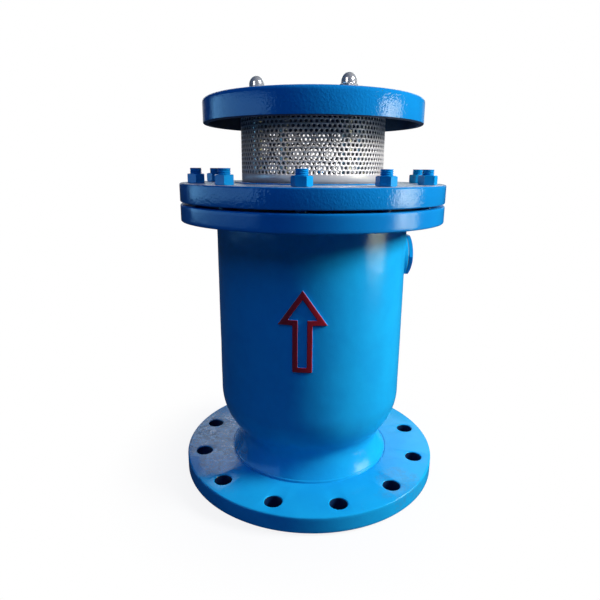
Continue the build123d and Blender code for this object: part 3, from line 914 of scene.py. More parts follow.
@dataclass
class Body:
    """The barrel casting with its flanges, side boss and plug."""

    inlet_r: float = 86.0
    raised_r: float = 133.0
    raised_t: float = 3.0
    flange_r: float = 170.0
    flange_t: float = 24.0
    bolt_circle: float = 295.0
    bolts: int = 12
    bolt_start: float = 15.0
    bolt_hole_r: float = 10.7
    bolt_hole_rim: float = 1.2
    cast_depth: float = 0.22
    hub_r: float = 105.0
    lip: float = 2.6
    groove_in: float = 1.7
    groove_out: float = 3.6
    groove_depth: float = 0.7
    groove_slope: float = 0.6
    waist_r: float = 96.0
    waist_z: float = 60.0
    waist_fillet: float = 24.0
    barrel_r: float = 120.0
    chamber_r: float = 110.0
    bowl_z: float = 116.0
    bowl_centre_r: float = 42.667
    top_flange_r: float = 163.0
    top_flange_z: float = 338.4
    top: float = 358.3
    boss_azimuth: float = 9.0
    boss_z: float = 292.0
    boss_r: float = 30.0
    boss_face: float = 121.5
    boss_bore_r: float = 22.0
    plug_across: float = 50.0
    plug_shank_r: float = 20.9
    plug_seal_t: float = 1.5
    plug_head_h: float = 6.0
    mark_height: float = 96.0
    mark_width: float = 56.0
    mark_stroke: float = 6.2
    mark_z: float = 225.0
    mark_azimuth: float = -93.0
    mark_root: float = 1.5
    mark_proud: float = 2.2

    def casting(self) -> bmesh.types.BMesh:
        """Return the turned casting with its bolt holes."""
        inner_r = self.chamber_r - self.bowl_centre_r
        inner_sweep = math.degrees(math.acos((self.inlet_r - self.bowl_centre_r) / inner_r))
        neck_top = self.bowl_z - inner_r * math.sin(math.radians(inner_sweep))
        s = Section(self.inlet_r, neck_top, 2.0)
        s.to(self.inlet_r, 0, 0.8).to(self.raised_r, 0, 0.6).to(self.raised_r, self.raised_t, 0.6)
        s.to(self.flange_r, self.raised_t, 1.5).to(self.flange_r, self.flange_t, 1.8)
        inner, outer = self.hub_r + self.groove_in, self.hub_r + self.groove_out
        floor, lip_z = self.flange_t - self.groove_depth, self.flange_t + self.lip
        s.to(outer, self.flange_t, 0.3).to(outer - self.groove_slope, floor, 0.3).to(inner, floor, 0.3)
        s.to(inner - self.groove_slope, lip_z - 0.3, 0.9).to(self.hub_r, lip_z)
        s = self.above_hub(s)
        s.to(self.barrel_r, self.top_flange_z, 4.0).to(self.top_flange_r, self.top_flange_z, 1.5)
        s.to(self.top_flange_r, self.top, 1.5).to(self.chamber_r, self.top, 0.8)
        s.to(self.chamber_r, self.bowl_z).arc(self.bowl_centre_r, self.bowl_z, -inner_sweep + 2.0, 12)
        bm = s.spin(steps=LARGE_ROUND, rows=3.0)
        low, high = self.flange_t + 4, self.top_flange_z - 5
        roughen(bm, low, high, self.waist_r - 2, self.barrel_r + 1, self.cast_depth)
        drill = hole_cutter(self.bolt_hole_r, self.raised_t, self.flange_t, self.bolt_hole_rim)
        return subtract(bm, copies(drill, circle(self.bolt_circle, self.bolts, self.bolt_start, 0.0)))

    def above_hub(self, s: Section) -> Section:
        """Draw the neck's arc, the rounded waist and the bowl's arc.

        Args:
            s: The section, which stands at the hub.

        Returns:
            The section, which stands at the foot of the barrel.
        """
        step, rise = self.hub_r - self.waist_r, self.waist_z - self.flange_t - self.lip
        neck_r = (step**2 + rise**2) / (2 * step)
        bowl_r = self.barrel_r - self.bowl_centre_r
        neck = Vector((self.waist_r + neck_r, self.waist_z))
        bowl = Vector((self.bowl_centre_r, self.bowl_z))
        crossings = geometry.intersect_sphere_sphere_2d(
            neck, neck_r - self.waist_fillet, bowl, bowl_r + self.waist_fillet
        )
        soft = min(crossings, key=lambda point: point.y)
        low = neck + (soft - neck).normalized() * neck_r
        high = bowl + (soft - bowl).normalized() * bowl_r
        s.arc(*neck, turned_by(neck, Vector((self.hub_r, self.flange_t + self.lip)), low), 8)
        s.arc(*soft, turned_by(soft, low, high), 10)
        return s.arc(*bowl, turned_by(bowl, high, Vector((self.barrel_r, self.bowl_z))), 16)

    def boss(self) -> bmesh.types.BMesh:
        """Return the round side boss, its root inside the barrel's wall."""
        s = Section(0, self.chamber_r + 3).to(self.boss_r, self.chamber_r + 3)
        s.to(self.boss_r, self.boss_face, 1.0).to(self.boss_bore_r, self.boss_face, 0.4)
        s.to(self.boss_bore_r, self.boss_face - 1.5).to(0, self.boss_face - 1.5)
        bm = s.spin(steps=72)
        bmesh.ops.transform(bm, matrix=self.boss_place(), verts=bm.verts[:])
        return bm

    def boss_place(self) -> Matrix:
        """Return the transform that lays a piece turned round Z along the boss's axis."""
        lay = Matrix.Rotation(math.radians(90), 4, "Y")
        turn = Matrix.Rotation(math.radians(self.boss_azimuth), 4, "Z")
        return Matrix.Translation((0, 0, self.boss_z * MM)) @ turn @ lay

    def plug(self) -> bmesh.types.BMesh:
        """Return the hexagon-head plug."""
        seat = self.boss_face + self.plug_seal_t
        head = seat + self.plug_head_h
        corner = self.plug_across / math.sqrt(3)
        s = Section(0, seat - 10).to(self.plug_shank_r, seat - 10).to(self.plug_shank_r, seat)
        s.to(corner - 0.8, seat, 0.3).to(corner + 0.1, seat + 0.9)
        s.to(corner + 0.1, head - 2.1, 0.8).to(corner - 3.6, head, 1.0)
        s.to(9.0, head, 0.4).to(8.2, head - 0.7, 0.4).to(0, head - 0.7)
        bm = s.spin(steps=72)
        trim_hexagon(bm, self.plug_across)
        bmesh.ops.transform(bm, matrix=self.boss_place(), verts=bm.verts[:])
        return bm

    def mark_outline(self) -> list[tuple[float, float]]:
        """Return the corners of an arrow that points up, across and up from its centre."""
        half_w, half_h = self.mark_width / 2, self.mark_height / 2
        stem, barb = self.mark_width * 0.2, self.mark_height * 0.08
        right = [(stem, -half_h), (stem, barb), (half_w, barb)]
        left = [(-half_w, barb), (-stem, barb)]
        return [(-stem, -half_h), *right, (0.0, half_h), *left]

    def mark_ribbon(self) -> bmesh.types.BMesh:
        """Return the flat ribbon between the arrow's outer and inner outline, in the YZ plane."""
        bm = bmesh.new()
        corners = [bm.verts.new((0.0, x * MM, y * MM)) for x, y in self.mark_outline()]
        bm.faces.new(corners).normal_update()
        bmesh.ops.inset_region(
            bm, faces=bm.faces[:], thickness=self.mark_stroke * MM, use_boundary=True, use_even_offset=True
        )
        spokes = [e for e in bm.edges if sum(v in corners for v in e.verts) == 1]
        bmesh.ops.delete(bm, geom=bm.faces[:], context="FACES_ONLY")
        bmesh.ops.delete(bm, geom=spokes, context="EDGES")
        outer = [e for e in bm.edges if all(v in corners for v in e.verts)]
        inner = [e for e in bm.edges if e not in outer]
        for loop in (outer, inner):
            bmesh.ops.contextual_create(bm, geom=loop)
        soften(bm, bm.verts[:], 1.1, "VERTICES")
        bmesh.ops.delete(bm, geom=bm.faces[:], context="FACES_ONLY")
        bmesh.ops.bridge_loops(bm, edges=bm.edges[:])
        return bm

    def flow_mark(self) -> bmesh.types.BMesh:
        """Return a raised arrow in outline that points the way the air leaves, wrapped on the barrel."""
        bm = self.mark_ribbon()
        bmesh.ops.recalc_face_normals(bm, faces=bm.faces[:])
        raised = bmesh.ops.extrude_face_region(bm, geom=bm.faces[:])["geom"]
        tops, crown = only(bmesh.types.BMVert, raised), only(bmesh.types.BMFace, raised)
        bmesh.ops.translate(bm, verts=tops, vec=((self.mark_proud + self.mark_root) * MM, 0, 0))
        rims = [e for e in bm.edges if sum(f in crown for f in e.link_faces) == 1]
        soften(bm, rims, 0.8)
        strip, each_side = 1.5, 18
        for i in range(-each_side, each_side + 1):
            bmesh.ops.bisect_plane(bm, geom=all_of(bm), plane_co=(0, i * strip * MM, 0), plane_no=(0, 1, 0))
        for v in bm.verts:
            r = (self.barrel_r - self.mark_root) * MM + v.co.x
            angle = v.co.y / (self.barrel_r * MM)
            v.co = Vector((r * math.cos(angle), r * math.sin(angle), v.co.z + self.mark_z * MM))
        turn = Matrix.Rotation(math.radians(self.mark_azimuth), 3, "Z")
        bmesh.ops.rotate(bm, verts=bm.verts[:], matrix=turn)
        bmesh.ops.recalc_face_normals(bm, faces=bm.faces[:])
        return bm

    def build(
        self,
        paint: bpy.types.Material,
        machined: bpy.types.Material,
        mark: bpy.types.Material,
        bore: bpy.types.Material,
    ) -> None:
        """Make the casting's pieces.

        Args:
            paint: Enamel over the casting.
            machined: Enamel over machined steel.
            mark: Paint on the raised mark.
            bore: Dark coat inside the holes and the inlet, painted shade in these recesses.
        """
        base = Carrier.BASE
        casting = finish_piece(self.casting(), "body_casting", paint, base, ("valve_body",))
        top, rim = (self.flange_t - 1.0) * MM, (self.flange_r - 4) * MM
        # The hole walls and the inlet's bore take the dark coat: painted shade in these recesses.
        second_coat(casting, bore, lambda at, out: at.z < top and abs(out.z) < 0.3 and at.xy.length < rim)
        finish_piece(self.boss(), "side_boss", paint, base)
        finish_piece(self.plug(), "plug_head", machined, base, ("side_plug",), bevel=0.5)
        arrow = finish_piece(self.flow_mark(), "flow_arrow", mark, base, sharp=50.0)
        arrow.modifiers.new("flat_crown", "WEIGHTED_NORMAL")
        crown_r = (self.barrel_r + self.mark_proud - 0.5) * MM
        second_coat(arrow, paint, lambda at, out: at.xy.length < crown_r)


@dataclass
class Bonnet:
    """The bolted upper flange with its rim, spider, studs and nuts."""

    bottom: float = 355.3
    under: float = 361.3
    top: float = 383.0
    flange_r: float = 163.0
    spigot_r: float = 109.5
    outlet_r: float = 62.0
    rim_in: float = 88.1
    rim_out: float = 97.0
    rim_h: float = 1.5
    stud_circle: float = 286.0
    studs: int = 10
    stud_start: float = -93.0
    stud_r: float = 6.9
    stud_foot: float = 342.3
    stud_top: float = 400.3
    nut_across: float = 19.4
    nut_t: float = 10.8
    spider_low: float = 363.0
    spider_high: float = 375.0
    hub_in: float = 11.02
    hub_out: float = 17.0
    arms: int = 3
    arm_width: float = 10.0
    thread_pitch: float = 1.75
    thread_depth: float = 0.72
    nut_turns: tuple[float, ...] = (0.0, 14.0, -9.0, 22.0, 5.0, -17.0, 28.0, 11.0, -4.0, 19.0)

    def plate(self) -> bmesh.types.BMesh:
        """Return the turned flange."""
        s = Section(self.outlet_r, self.bottom, 0.6).to(self.spigot_r, self.bottom, 0.6)
        s.to(self.spigot_r, self.under, 0.3).to(self.flange_r, self.under, 1.4)
        s.to(self.flange_r, self.top, 1.9).to(self.rim_out, self.top, 0.5)
        s.to(self.rim_out, self.top + self.rim_h, 0.9).to(self.rim_in, self.top + self.rim_h, 0.5)
        s.to(self.rim_in, self.top, 0.4).to(self.outlet_r, self.top, 1.6)
        return s.spin(steps=LARGE_ROUND, segments=4)

    def spider(self) -> bmesh.types.BMesh:
        """Return the hub and the arms that carry the guide bush."""
        low, high = self.spider_low, self.spider_high
        s = Section(self.hub_in, low, 0.4).to(self.hub_out, low, 0.8)
        bm = s.to(self.hub_out, high, 0.8).to(self.hub_in, high, 0.4).spin(steps=64)
        arm = bmesh.new()
        bmesh.ops.create_cube(arm, size=1.0)
        size = Vector((self.outlet_r - self.hub_out + 2.0, self.arm_width, high - low)) * MM
        bmesh.ops.scale(arm, vec=size, verts=arm.verts[:])
        middle = Vector(((self.outlet_r + self.hub_out - 1.0) / 2, 0, (low + high) / 2)) * MM
        bmesh.ops.translate(arm, vec=middle, verts=arm.verts[:])
        soften(arm, arm.edges[:], 1.2)
        places = [Matrix.Rotation(math.radians(90 + 360 * i / self.arms), 4, "Z") for i in range(self.arms)]
        join(bm, copies(arm, places))
        return bm

    def stud(self) -> bmesh.types.BMesh:
        """Return one stud with a cut thread at its free end, on the Z axis."""
        pitch, low = self.thread_pitch, self.top + self.nut_t - 3.0
        bm = bmesh.new()
        last = bm.verts.new((self.stud_r * MM, 0, low * MM))
        z = low
        while z < self.stud_top + pitch:
            for r in (self.stud_r - self.thread_depth, self.stud_r):
                z += pitch / 2
                made = bm.verts.new((r * MM, 0, z * MM))
                bm.edges.new((last, made))
                last = made
        steps = 28
        sweep(bm, bm.verts[:] + bm.edges[:], FULL_TURN, steps, dvec=(0, 0, pitch * MM / steps))
        bmesh.ops.remove_doubles(bm, verts=bm.verts[:], dist=MERGE)
        for height, side in ((self.stud_top, 1), (low + pitch, -1)):
            slice_off(bm, Vector((0, 0, height * MM)), Vector((0, 0, side)))
        shank = Section(0, self.stud_foot).to(self.stud_r - 0.1, self.stud_foot, 0.6)
        shank.to(self.stud_r - 0.1, low + pitch + 0.2).to(0, low + pitch + 0.2)
        join(bm, shank.spin(steps=steps))
        bmesh.ops.recalc_face_normals(bm, faces=bm.faces[:])
        return bm

    def nut(self, across: float, height: float, bore: float) -> bmesh.types.BMesh:
        """Make one hexagon nut, chamfered at both ends, standing on the origin.

        Args:
            across: Size across flats.
            height: Its height.
            bore: Radius of its hole.

        Returns:
            The nut's mesh.
        """
        corner = across / math.sqrt(3) + 0.05
        s = Section(bore, 0.0).to(across / 2 - 0.2, 0.0).to(corner, 0.9).to(corner, height - 1.0)
        s.to(across / 2 - 0.4, height, 0.3).to(bore + 0.7, height, 0.2).to(bore, height - 0.7)
        bm = s.spin(steps=60)
        trim_hexagon(bm, across)
        return bm

    def build(
        self, paint: bpy.types.Material, upper: bpy.types.Material, fastener: bpy.types.Material
    ) -> None:
        """Make the bonnet's pieces.

        Args:
            paint: Enamel over the machined flange.
            upper: Greyish enamel on its top face: dust, and painted sheen for the reflection along that
                face.
            fastener: Enamel brushed over studs and nuts.
        """
        base, slot = Carrier.BASE, "fastener_paint"
        plate = finish_piece(self.plate(), "bonnet_plate", paint, base, ("bonnet",))
        # The top face takes the greyish coat: dust, and painted sheen standing in for its reflection.
        second_coat(plate, upper, lambda at, out: out.z > 0.9 and at.z > (self.top - 0.2) * MM)
        finish_piece(self.spider(), "guide_spider", paint, base)
        nuts = copies(
            self.nut(self.nut_across, self.nut_t, self.stud_r + 0.1),
            circle(self.stud_circle, self.studs, self.stud_start, self.top, self.nut_turns),
        )
        finish_piece(nuts, "flange_nuts", fastener, base, ("bonnet_nuts",), bevel=0.35)
        studs = copies(
            self.stud(), circle(self.stud_circle, self.studs, self.stud_start, 0.0, self.nut_turns)
        )
        finish_piece(studs, "flange_studs", fastener, base, ("bonnet_studs",), sharp=50.0)


@dataclass
class Screen:
    """Perforated stainless cylinder between the bonnet and the cap."""

    radius: float = 87.6
    thickness: float = 1.5
    foot: float = 383.0
    head: float = 471.2
    first_row: float = 396.2
    row_step: float = 4.86
    rows: int = 15
    holes: int = 98
    hole_r: float = 1.8

    def cell(self) -> bmesh.types.BMesh:
        """Return one hole with its share of the sheet, bent to the cylinder."""
        bm = bmesh.new()
        width, half = FULL_TURN * self.radius / self.holes, self.row_step / 2
        foot = [(-0.5, -1), (-0.25, -1), (0, -1), (0.25, -1), (0.5, -1)]
        rim = [*foot, (0.5, 0), *((-x, -y) for x, y in foot), (-0.5, 0)]
        outer = [bm.verts.new((0, x * width, y * half)) for x, y in rim]
        facing = Matrix.Rotation(math.radians(90), 4, "Y")
        ring = bmesh.ops.create_circle(bm, segments=len(rim), radius=self.hole_r, matrix=facing)["verts"]
        edges = [e for e in bm.edges if all(v in ring for v in e.verts)]
        edges += [bm.edges.new(pair) for pair in zip(outer, outer[1:] + outer[:1])]
        bmesh.ops.bridge_loops(bm, edges=edges)
        for v in bm.verts:
            angle, z = v.co.y / self.radius, self.first_row + v.co.z
            v.co = Vector((self.radius * math.cos(angle), self.radius * math.sin(angle), z)) * MM
        return bm

    def sheet(self) -> bmesh.types.BMesh:
        """Return the sheet's outside, with its rows of holes, as one skin."""
        bm = self.cell()
        step, rows, half = FULL_TURN / self.holes, self.rows - 1, self.row_step / 2
        sweep(bm, all_of(bm), step * (self.holes - 1), self.holes - 1, use_duplicate=True)
        bmesh.ops.remove_doubles(bm, verts=bm.verts[:], dist=WELD)
        lift = (0, 0, self.row_step * MM)
        sweep(bm, all_of(bm), step / 2 * rows, rows, dvec=lift, use_duplicate=True)
        bmesh.ops.remove_doubles(bm, verts=bm.verts[:], dist=WELD)
        low, high = self.first_row - half, self.first_row + self.row_step * rows + half
        for level, target in ((low, self.foot), (high, self.head)):
            border = [e for e in bm.edges if e.is_boundary]
            rim = [e for e in border if all(abs(v.co.z - level * MM) < MERGE for v in e.verts)]
            made = bmesh.ops.extrude_edge_only(bm, edges=rim)["geom"]
            tops = only(bmesh.types.BMVert, made)
            bmesh.ops.translate(bm, verts=tops, vec=(0, 0, (target - level) * MM))
        bmesh.ops.recalc_face_normals(bm, faces=bm.faces[:])
        if bm.faces[0].normal.dot(bm.faces[0].calc_center_median()) < 0:
            bmesh.ops.reverse_faces(bm, faces=bm.faces[:])
        return bm

    def build(self, steel: bpy.types.Material, inner_shade: bpy.types.Material) -> bpy.types.Object:
        """Make the screen.

        Args:
            steel: The perforated sheet's finish.
            inner_shade: Dark, dull finish of its inner side and the holes' edges, darkened as painted shade
                for the shaded inside.

        Returns:
            The screen.
        """
        sheet = finish_piece(
            self.sheet(), "screen_sheet", steel, Carrier.BASE, ("outlet_screen",)
        )
        wall = sheet.modifiers.new("wall", "SOLIDIFY")
        wall.thickness = self.thickness * MM
        wall.offset = -1.0
        # The inner side and the holes' edges take the dark steel: painted shade inside the screen.
        sheet.data.materials.append(inner_shade)
        wall.material_offset = wall.material_offset_rim = 1
        return sheet


@dataclass
class Cap:
    """Rain cap, its studs and its acorn nuts."""

    radius: float = 132.3
    bottom: float = 450.6
    under: float = 471.2
    top: float = 479.2
    skirt: float = 6.0
    register_out: float = 85.6
    register_in: float = 82.6
    stud_circle: float = 149.6
    studs: int = 4
    stud_start: float = -148.0
    acorn_turns: tuple[float, ...] = (12.0, -8.0, 21.0, 3.0)
    acorn_bore_r: float = 6.1
    acorn_across: float = 19.0
    acorn_hex: float = 10.0
    acorn_h: float = 22.0
    acorn_dome: float = 8.5

    def dish(self) -> bmesh.types.BMesh:
        """Return the turned cap."""
        s = Section(0, self.under).to(self.register_in, self.under, 0.5)
        s.to(self.register_in, self.under - 4, 0.5).to(self.register_out, self.under - 4, 0.5)
        s.to(self.register_out, self.under, 0.5)
        s.to(self.radius - self.skirt, self.under, 3.0).to(self.radius - self.skirt, self.bottom, 0.8)
        s.to(self.radius, self.bottom, 1.6).to(self.radius, self.top, 5.0).to(0, self.top)
        return s.spin(steps=LARGE_ROUND, segments=5)

    def acorn(self) -> bmesh.types.BMesh:
        """Return one acorn nut standing on the origin."""
        corner, flat = self.acorn_across / math.sqrt(3) + 0.05, self.acorn_across / 2
        s = Section(self.acorn_bore_r, 0.0).to(flat - 0.2, 0.0, 0.2).to(corner, 0.8)
        s.to(corner, self.acorn_hex - 0.9).to(flat - 0.5, self.acorn_hex, 0.3)
        s.to(self.acorn_dome - 0.4, self.acorn_hex).to(self.acorn_bore_r, self.acorn_hex)
        bm = s.spin(steps=60)
        trim_hexagon(bm, self.acorn_across)
        centre = self.acorn_h - self.acorn_dome
        dome = Section(0, self.acorn_hex - 1.0).to(self.acorn_dome - 0.3, self.acorn_hex - 1.0)
        dome.to(self.acorn_dome, self.acorn_hex + 0.8, 0.3).to(self.acorn_dome, centre)
        dome.arc(0.0, centre, 90.0, 14)
        join(bm, dome.spin(steps=48))
        return bm

    def build(
        self, paint: bpy.types.Material, underside_shade: bpy.types.Material, bright: bpy.types.Material
    ) -> bpy.types.Object:
        """Make the cap's pieces.

        Args:
            paint: Enamel over the turned cap.
            underside_shade: Dark coat inside it, painted shade on its underside and inner faces.
            bright: Polish of the acorn nuts.

        Returns:
            The acorn nuts.
        """
        base = Carrier.BASE
        dish = finish_piece(self.dish(), "rain_cap", paint, base, ("cap",))
        # Faces that look down or inwards take the dark coat: painted shade under the cap.
        second_coat(dish, underside_shade, lambda at, out: out.z < -0.4 or out.xy.dot(at.xy) < -1e-4)
        places = circle(self.stud_circle, self.studs, self.stud_start, self.top, self.acorn_turns)
        acorns = copies(self.acorn(), places)
        return finish_piece(acorns, "acorn_nuts", bright, base, ("cap_nuts",), bevel=0.3)


@dataclass
class Inside:
    """Seals, studs, seat, guide rods, disc and float, shown as their CAD nodes."""

    nodes: dict[str, tuple[str, ...]]

    def dress(self, frame: dict, materials: dict[str, bpy.types.Material]) -> None:
        """Give each carried-over CAD node its finish.

        Args:
            materials: Materials by name.
        """
        for name, nodes in self.nodes.items():
            for shown in (frame["nodes"][node] for node in nodes):
                if not shown.material_slots:
                    shown.data.materials.append(None)
                for slot in shown.material_slots:
                    slot.material = materials[name]
                LOG.info("%s: dressed in %s", shown.name, name)


# Studio


@dataclass
class Studio:
    """Floor, lamps, world and camera."""

    camera_at: Point = (0.01215, -0.64575, 0.39994)
    turn: float = -2.335
    tilt: float = 14.716
    roll: float = 0.424
    lens: float = 29.945
    white: Colour = (1.0, 1.0, 1.0)
    mirrored: Colour = (0.25, 0.55, 1.0)
    mirrored_strength: float = 0.06
    fill: Colour = (0.25, 0.44, 1.0)
    fill_strength: float = 0.022
    floor_seen: Colour = (0.82, 0.83, 0.85)
    floor_unseen: Colour = (0.05, 0.08, 0.14)

    @staticmethod
    def lamp(
        name: str,
        at: Point,
        aim: Point,
        size: tuple[float, float],
        power: float,
        colour: Colour,
        glossy: bool = True,
        diffuse: bool = True,
    ) -> bpy.types.Object:
        """Hang a rectangular lamp.

        Args:
            name: The lamp's name.
            at: Where it hangs.
            aim: The point it faces.
            size: Width and height.
            power: Watts.
            colour: Its colour.
            glossy: Whether it shows in reflections.
            diffuse: Whether it lights dull surfaces.

        Returns:
            The lamp.
        """
        data = bpy.data.lights.new(name, "AREA")
        data.shape = "RECTANGLE"
        data.size, data.size_y = size
        data.energy = power
        data.color = colour
        lamp = bpy.data.objects.new(name, data)
        lamp.location = at
        lamp.rotation_mode = "QUATERNION"
        lamp.rotation_quaternion = (Vector(aim) - Vector(at)).to_track_quat("-Z", "Y")
        lamp.visible_glossy = glossy
        lamp.visible_diffuse = diffuse
        lamp.visible_camera = False
        bpy.context.scene.collection.objects.link(lamp)
        return lamp

    def world(self) -> None:
        """White where the camera looks past the object, a dim cool fill elsewhere."""
        world = bpy.data.worlds.new("studio")
        world.use_nodes = True
        bpy.context.scene.world = world
        g = Graph(world.node_tree)
        world.node_tree.nodes.clear()
        path = g.node("ShaderNodeLightPath")
        white, mirrored, fill = (
            g.node("ShaderNodeBackground", {"Color": colour, "Strength": strength}).outputs[0]
            for colour, strength in (
                (self.white, 1.0),
                (self.mirrored, self.mirrored_strength),
                (self.fill, self.fill_strength),
            )
        )
        shine = g.math("MAXIMUM", path.outputs["Is Glossy Ray"], path.outputs["Is Transmission Ray"])
        rest = g.node("ShaderNodeMixShader", {0: shine, 1: fill, 2: mirrored}).outputs[0]
        both = g.node("ShaderNodeMixShader", {0: path.outputs["Is Camera Ray"], 1: rest, 2: white})
        g.node("ShaderNodeOutputWorld", {0: both.outputs[0]})

    def floor(self) -> None:
        """Lay a pale floor that fades to white away from the object."""
        bm = bmesh.new()
        bmesh.ops.create_circle(bm, cap_ends=True, segments=96, radius=6.0)
        mesh = bpy.data.meshes.new("floor")
        bm.to_mesh(mesh)
        bm.free()
        made, g, shader, at = new_material("pale_floor")
        shader.inputs["Roughness"].default_value = 0.7
        shader.inputs["Specular IOR Level"].default_value = 0.1
        x, y, _ = g.parts(at)
        path = g.node("ShaderNodeLightPath")
        seen = path.outputs["Is Camera Ray"]
        g.feed(shader.inputs["Base Color"], g.mix(seen, self.floor_unseen, self.floor_seen))
        white = g.node("ShaderNodeEmission", {"Color": self.white, "Strength": 1.0}).outputs[0]
        dim = {"Color": self.mirrored, "Strength": self.mirrored_strength}
        mirrored = g.node("ShaderNodeEmission", dim).outputs[0]
        far = g.math("MULTIPLY", seen, g.step(g.reach(x, y), 0.12, 0.30, (0.86, 1.0)))
        lit = g.node("ShaderNodeMixShader", {0: far, 1: shader.outputs[0], 2: white}).outputs[0]
        shine = g.math("MAXIMUM", path.outputs["Is Glossy Ray"], path.outputs["Is Transmission Ray"])
        both = g.node("ShaderNodeMixShader", {0: g.math("MULTIPLY", shine, 0.7), 1: lit, 2: mirrored})
        output = made.node_tree.nodes["Material Output"]
        g.feed(output.inputs["Surface"], both.outputs[0])
        mesh.materials.append(made)
        floor = bpy.data.objects.new("floor", mesh)
        bpy.context.scene.collection.objects.link(floor)

    def camera(self) -> None:
        """Stand the camera where the photograph was taken from."""
        turn, tilt, roll = (math.radians(a) for a in (self.turn, self.tilt, self.roll))
        level = Vector((math.sin(turn), math.cos(turn), 0.0)) * math.cos(tilt)
        forward = level - Vector((0.0, 0.0, math.sin(tilt)))
        right = Vector((math.cos(turn), -math.sin(turn), 0.0))
        up = right.cross(forward)
        across = right * math.cos(roll) + up * math.sin(roll)
        over = up * math.cos(roll) - right * math.sin(roll)
        data = bpy.data.cameras.new("camera")
        data.lens = self.lens
        data.sensor_width = 36.0
        data.clip_start = 0.01
        made = bpy.data.objects.new("camera", data)
        bpy.context.scene.collection.objects.link(made)
        made.rotation_mode = "QUATERNION"
        made.rotation_quaternion = Matrix((across, over, -forward)).transposed().to_quaternion()
        made.location = self.camera_at
        bpy.context.scene.camera = made

    def build(self, steel: Sequence[bpy.types.Object]) -> None:
        """Set up the whole studio.

        Args:
            steel: Bright pieces, which have two lamps of their own in place of the card and the window.
        """
        bpy.context.scene.view_settings.view_transform = "Standard"
        self.world()
        self.floor()
        self.camera()
        middle, foot = (0.0, 0.0, 0.26), (0.0, 0.0, 0.05)
        lamp, dull, shiny = self.lamp, {"glossy": False}, {"diffuse": False}
        lamp("key", (1.64, -0.2, 1.1), middle, (0.6, 0.6), 60.0, (1.0, 0.98, 0.95), **dull)
        lamp("sky", (-0.7, -1.2, 1.95), middle, (1.4, 1.1), 11.5, (0.28, 0.40, 1.0), **dull)
        lamp("front", (1.1, -1.3, 1.6), middle, (0.7, 0.7), 3.6, (0.10, 0.40, 1.0), **dull)
        window = lamp("window", (1.48, -0.26, 0.37), middle, (0.65, 0.7), 13.0, (1.0, 0.95, 0.5), **shiny)
        lamp("pane", (1.46, -0.36, 0.40), middle, (0.16, 0.55), 2.6, (0.9, 0.97, 1.0), **shiny)
        card = lamp("card", (-1.37, -0.29, 0.5), middle, (2.2, 0.62), 16.0, (0.22, 0.60, 1.0), **shiny)
        lamp("backdrop", (0.0, 2.0, 1.28), foot, (2.4, 0.9), 10.0, (0.90, 0.97, 0.95), **shiny)
        lamp("horizon", (0.0, 2.2, 0.62), middle, (3.0, 0.4), 1.2, (0.92, 0.96, 1.0), **shiny)
        right = lamp("steel_right", (1.3, -0.8, 1.2), middle, (0.5, 0.5), 36.0, (1.0, 0.98, 0.97))
        left = lamp("steel_left", (-0.9, -1.3, 0.95), middle, (0.7, 0.7), 4.5, (1.0, 0.93, 0.88))
        lamp("rear", (-0.5, 1.8, 0.5), middle, (0.8, 0.8), 16.0, (0.85, 0.92, 1.0), **dull)
        for kept_off in (card, window):
            self.share(kept_off, steel, "EXCLUDE")
        for own in (right, left):
            self.share(own, steel, "INCLUDE")

    @staticmethod
    def share(lamp: bpy.types.Object, pieces: Sequence[bpy.types.Object], state: str) -> None:
        """Keep a lamp's light to some pieces, or off them.

        Args:
            lamp: The lamp.
            pieces: The pieces.
            state: INCLUDE to light them alone, EXCLUDE to leave them dark.
        """
        group = bpy.data.collections.new(lamp.name + "_pieces")
        for piece in pieces:
            group.objects.link(piece)
        for member in group.collection_objects:
            member.light_linking.link_state = state
        lamp.light_linking.receiver_collection = group


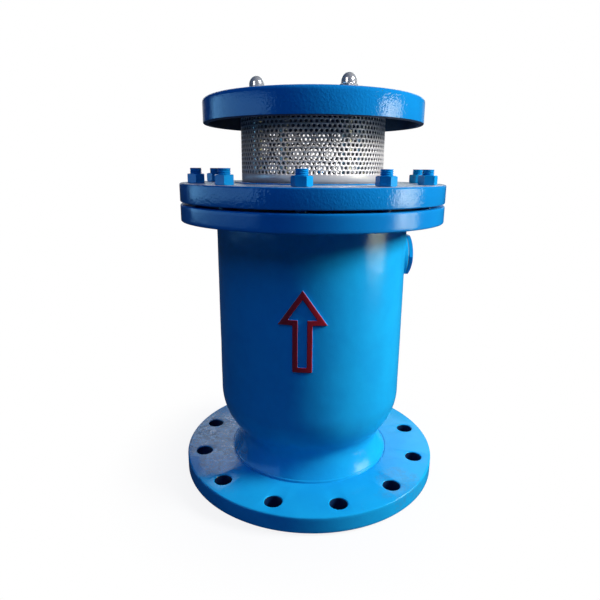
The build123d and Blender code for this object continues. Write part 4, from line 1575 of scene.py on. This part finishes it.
def coats() -> dict[str, bpy.types.Material]:
    """Return every material, by name."""
    glossy = {
        "colour": (0.005, 0.21, 0.54),
        "roughness": 0.055,
        "peel": 1.0,
        "lumps": 0.35,
        "nibs": 0.35,
        "relief": 0.5,
    }
    # Worn places on the lower flange; their grey is partly painted sheen.
    rubbed_sheen = (
        Patch((-0.130, 0.010, 0.024), 0.088),
        Patch((-0.118, -0.058, 0.024), 0.040, 0.8),
        Patch((0.112, -0.098, 0.024), 0.034, 0.32),
    )
    finishes = [
        Enamel("body_enamel", specular=0.17, rim=(0.3375, 0.3592), patches=rubbed_sheen),
        Enamel("bonnet_enamel", dust=0.3, **glossy),
        # Greyish coat of the bonnet's top: dust, and painted sheen for the reflection along it.
        Enamel(
            "dust_and_sheen_enamel",
            colour=(0.25, 0.34, 0.43),
            deep=(0.20, 0.31, 0.42),
            dust=0.8,
            dust_colour=(0.46, 0.49, 0.51),
            turned=True,
        ),
        Enamel("cap_enamel", dust=0.15, **glossy),
        Enamel("fastener_enamel", colour=(0.006, 0.29, 0.64), peel=0.2, lumps=0.3, nibs=0.3),
        Enamel(
            "mark_enamel",
            colour=(0.46, 0.016, 0.026),
            deep=(0.22, 0.008, 0.014),
            roughness=0.3,
            lumps=1.0,
            relief=0.6,
        ),
        Metal(
            "sheet_steel",
            colour=(0.66, 0.64, 0.63),
            roughness=0.32,
            lay=Lay.SPUN,
            pitch=2200.0,
            metallic=0.65,
        ),
        # Dark steel: painted shade for the screen's inside and hole edges, with a duller surface.
        Metal(
            "shaded_inner_steel",
            colour=(0.20, 0.20, 0.21),
            stain=(0.13, 0.13, 0.13),
            roughness=0.5,
            lay=Lay.SPUN,
            metallic=0.5,
        ),
        Metal(
            "polished_steel",
            colour=(0.92, 0.92, 0.92),
            roughness=0.08,
            relief=0.03,
            stained=0.1,
            metallic=0.85,
        ),
        Metal("turned_steel", colour=(0.60, 0.59, 0.57)),
        Metal("drawn_steel", colour=(0.58, 0.57, 0.56), lay=Lay.DRAWN),
        Metal(
            "cut_plate",
            colour=(0.52, 0.52, 0.51),
            stain=(0.30, 0.27, 0.23),
            roughness=0.38,
            lay=Lay.DRAWN,
            pitch=700.0,
        ),
        Metal("turned_bronze", colour=(0.60, 0.40, 0.19), stain=(0.35, 0.20, 0.09)),
        Metal("turned_brass", colour=(0.72, 0.55, 0.24), stain=(0.45, 0.30, 0.12)),
        Metal("spun_steel", colour=(0.66, 0.66, 0.65), roughness=0.2, lay=Lay.SPUN, pitch=900.0),
        # Near-black blue coat: painted shade in the bolt holes, the inlet's bore and the cap's underside.
        Compound("painted_shade_coat", colour=(0.003, 0.016, 0.06), bloom=(0.006, 0.03, 0.10), roughness=0.5),
        Compound("sheet_rubber"),
        Compound("fibre", colour=(0.14, 0.11, 0.085), bloom=(0.24, 0.20, 0.16), roughness=0.75),
        Compound("nylon", colour=(0.66, 0.65, 0.58), bloom=(0.74, 0.73, 0.67), roughness=0.45),
    ]
    return {finish.name: finish.build() for finish in finishes}


def main() -> None:
    """Build the valve, light it and set the camera."""
    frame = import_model()
    materials = coats()
    body, fastener, mark = (materials[name] for name in ("body_enamel", "fastener_enamel", "mark_enamel"))
    bonnet, top_dust_and_sheen, cap = (materials[name] for name in ("bonnet_enamel", "dust_and_sheen_enamel", "cap_enamel"))
    Body().build(body, fastener, mark, materials["painted_shade_coat"])
    Bonnet().build(bonnet, top_dust_and_sheen, fastener)
    screen = Screen().build(materials["sheet_steel"], materials["shaded_inner_steel"])
    acorns = Cap().build(cap, materials["painted_shade_coat"], materials["polished_steel"])
    steel = ("seat_ring", "seat_screws", "main_disc", "seal_retainer", "stem", "pilot_housing", "float_rod")
    inside = {
        "fibre": ("plug_seal", "seat_gasket"),
        "sheet_rubber": ("body_gasket", "disc_seal", "pilot_pad"),
        "nylon": ("stop_washer",),
        "turned_steel": steel,
        "drawn_steel": ("cap_studs", "guide_rods", "stop_nut", "lock_nut", "rod_nut"),
        "cut_plate": ("cage_foot",),
        "turned_bronze": ("guide_bush",),
        "turned_brass": ("orifice_nozzle",),
        "spun_steel": ("float_ball",),
    }
    Inside(inside).dress(frame, materials)
    Studio().build((screen, acorns))


if __name__ == "__main__":
    logging.basicConfig(level=logging.INFO, format="%(name)s %(message)s")
    main()
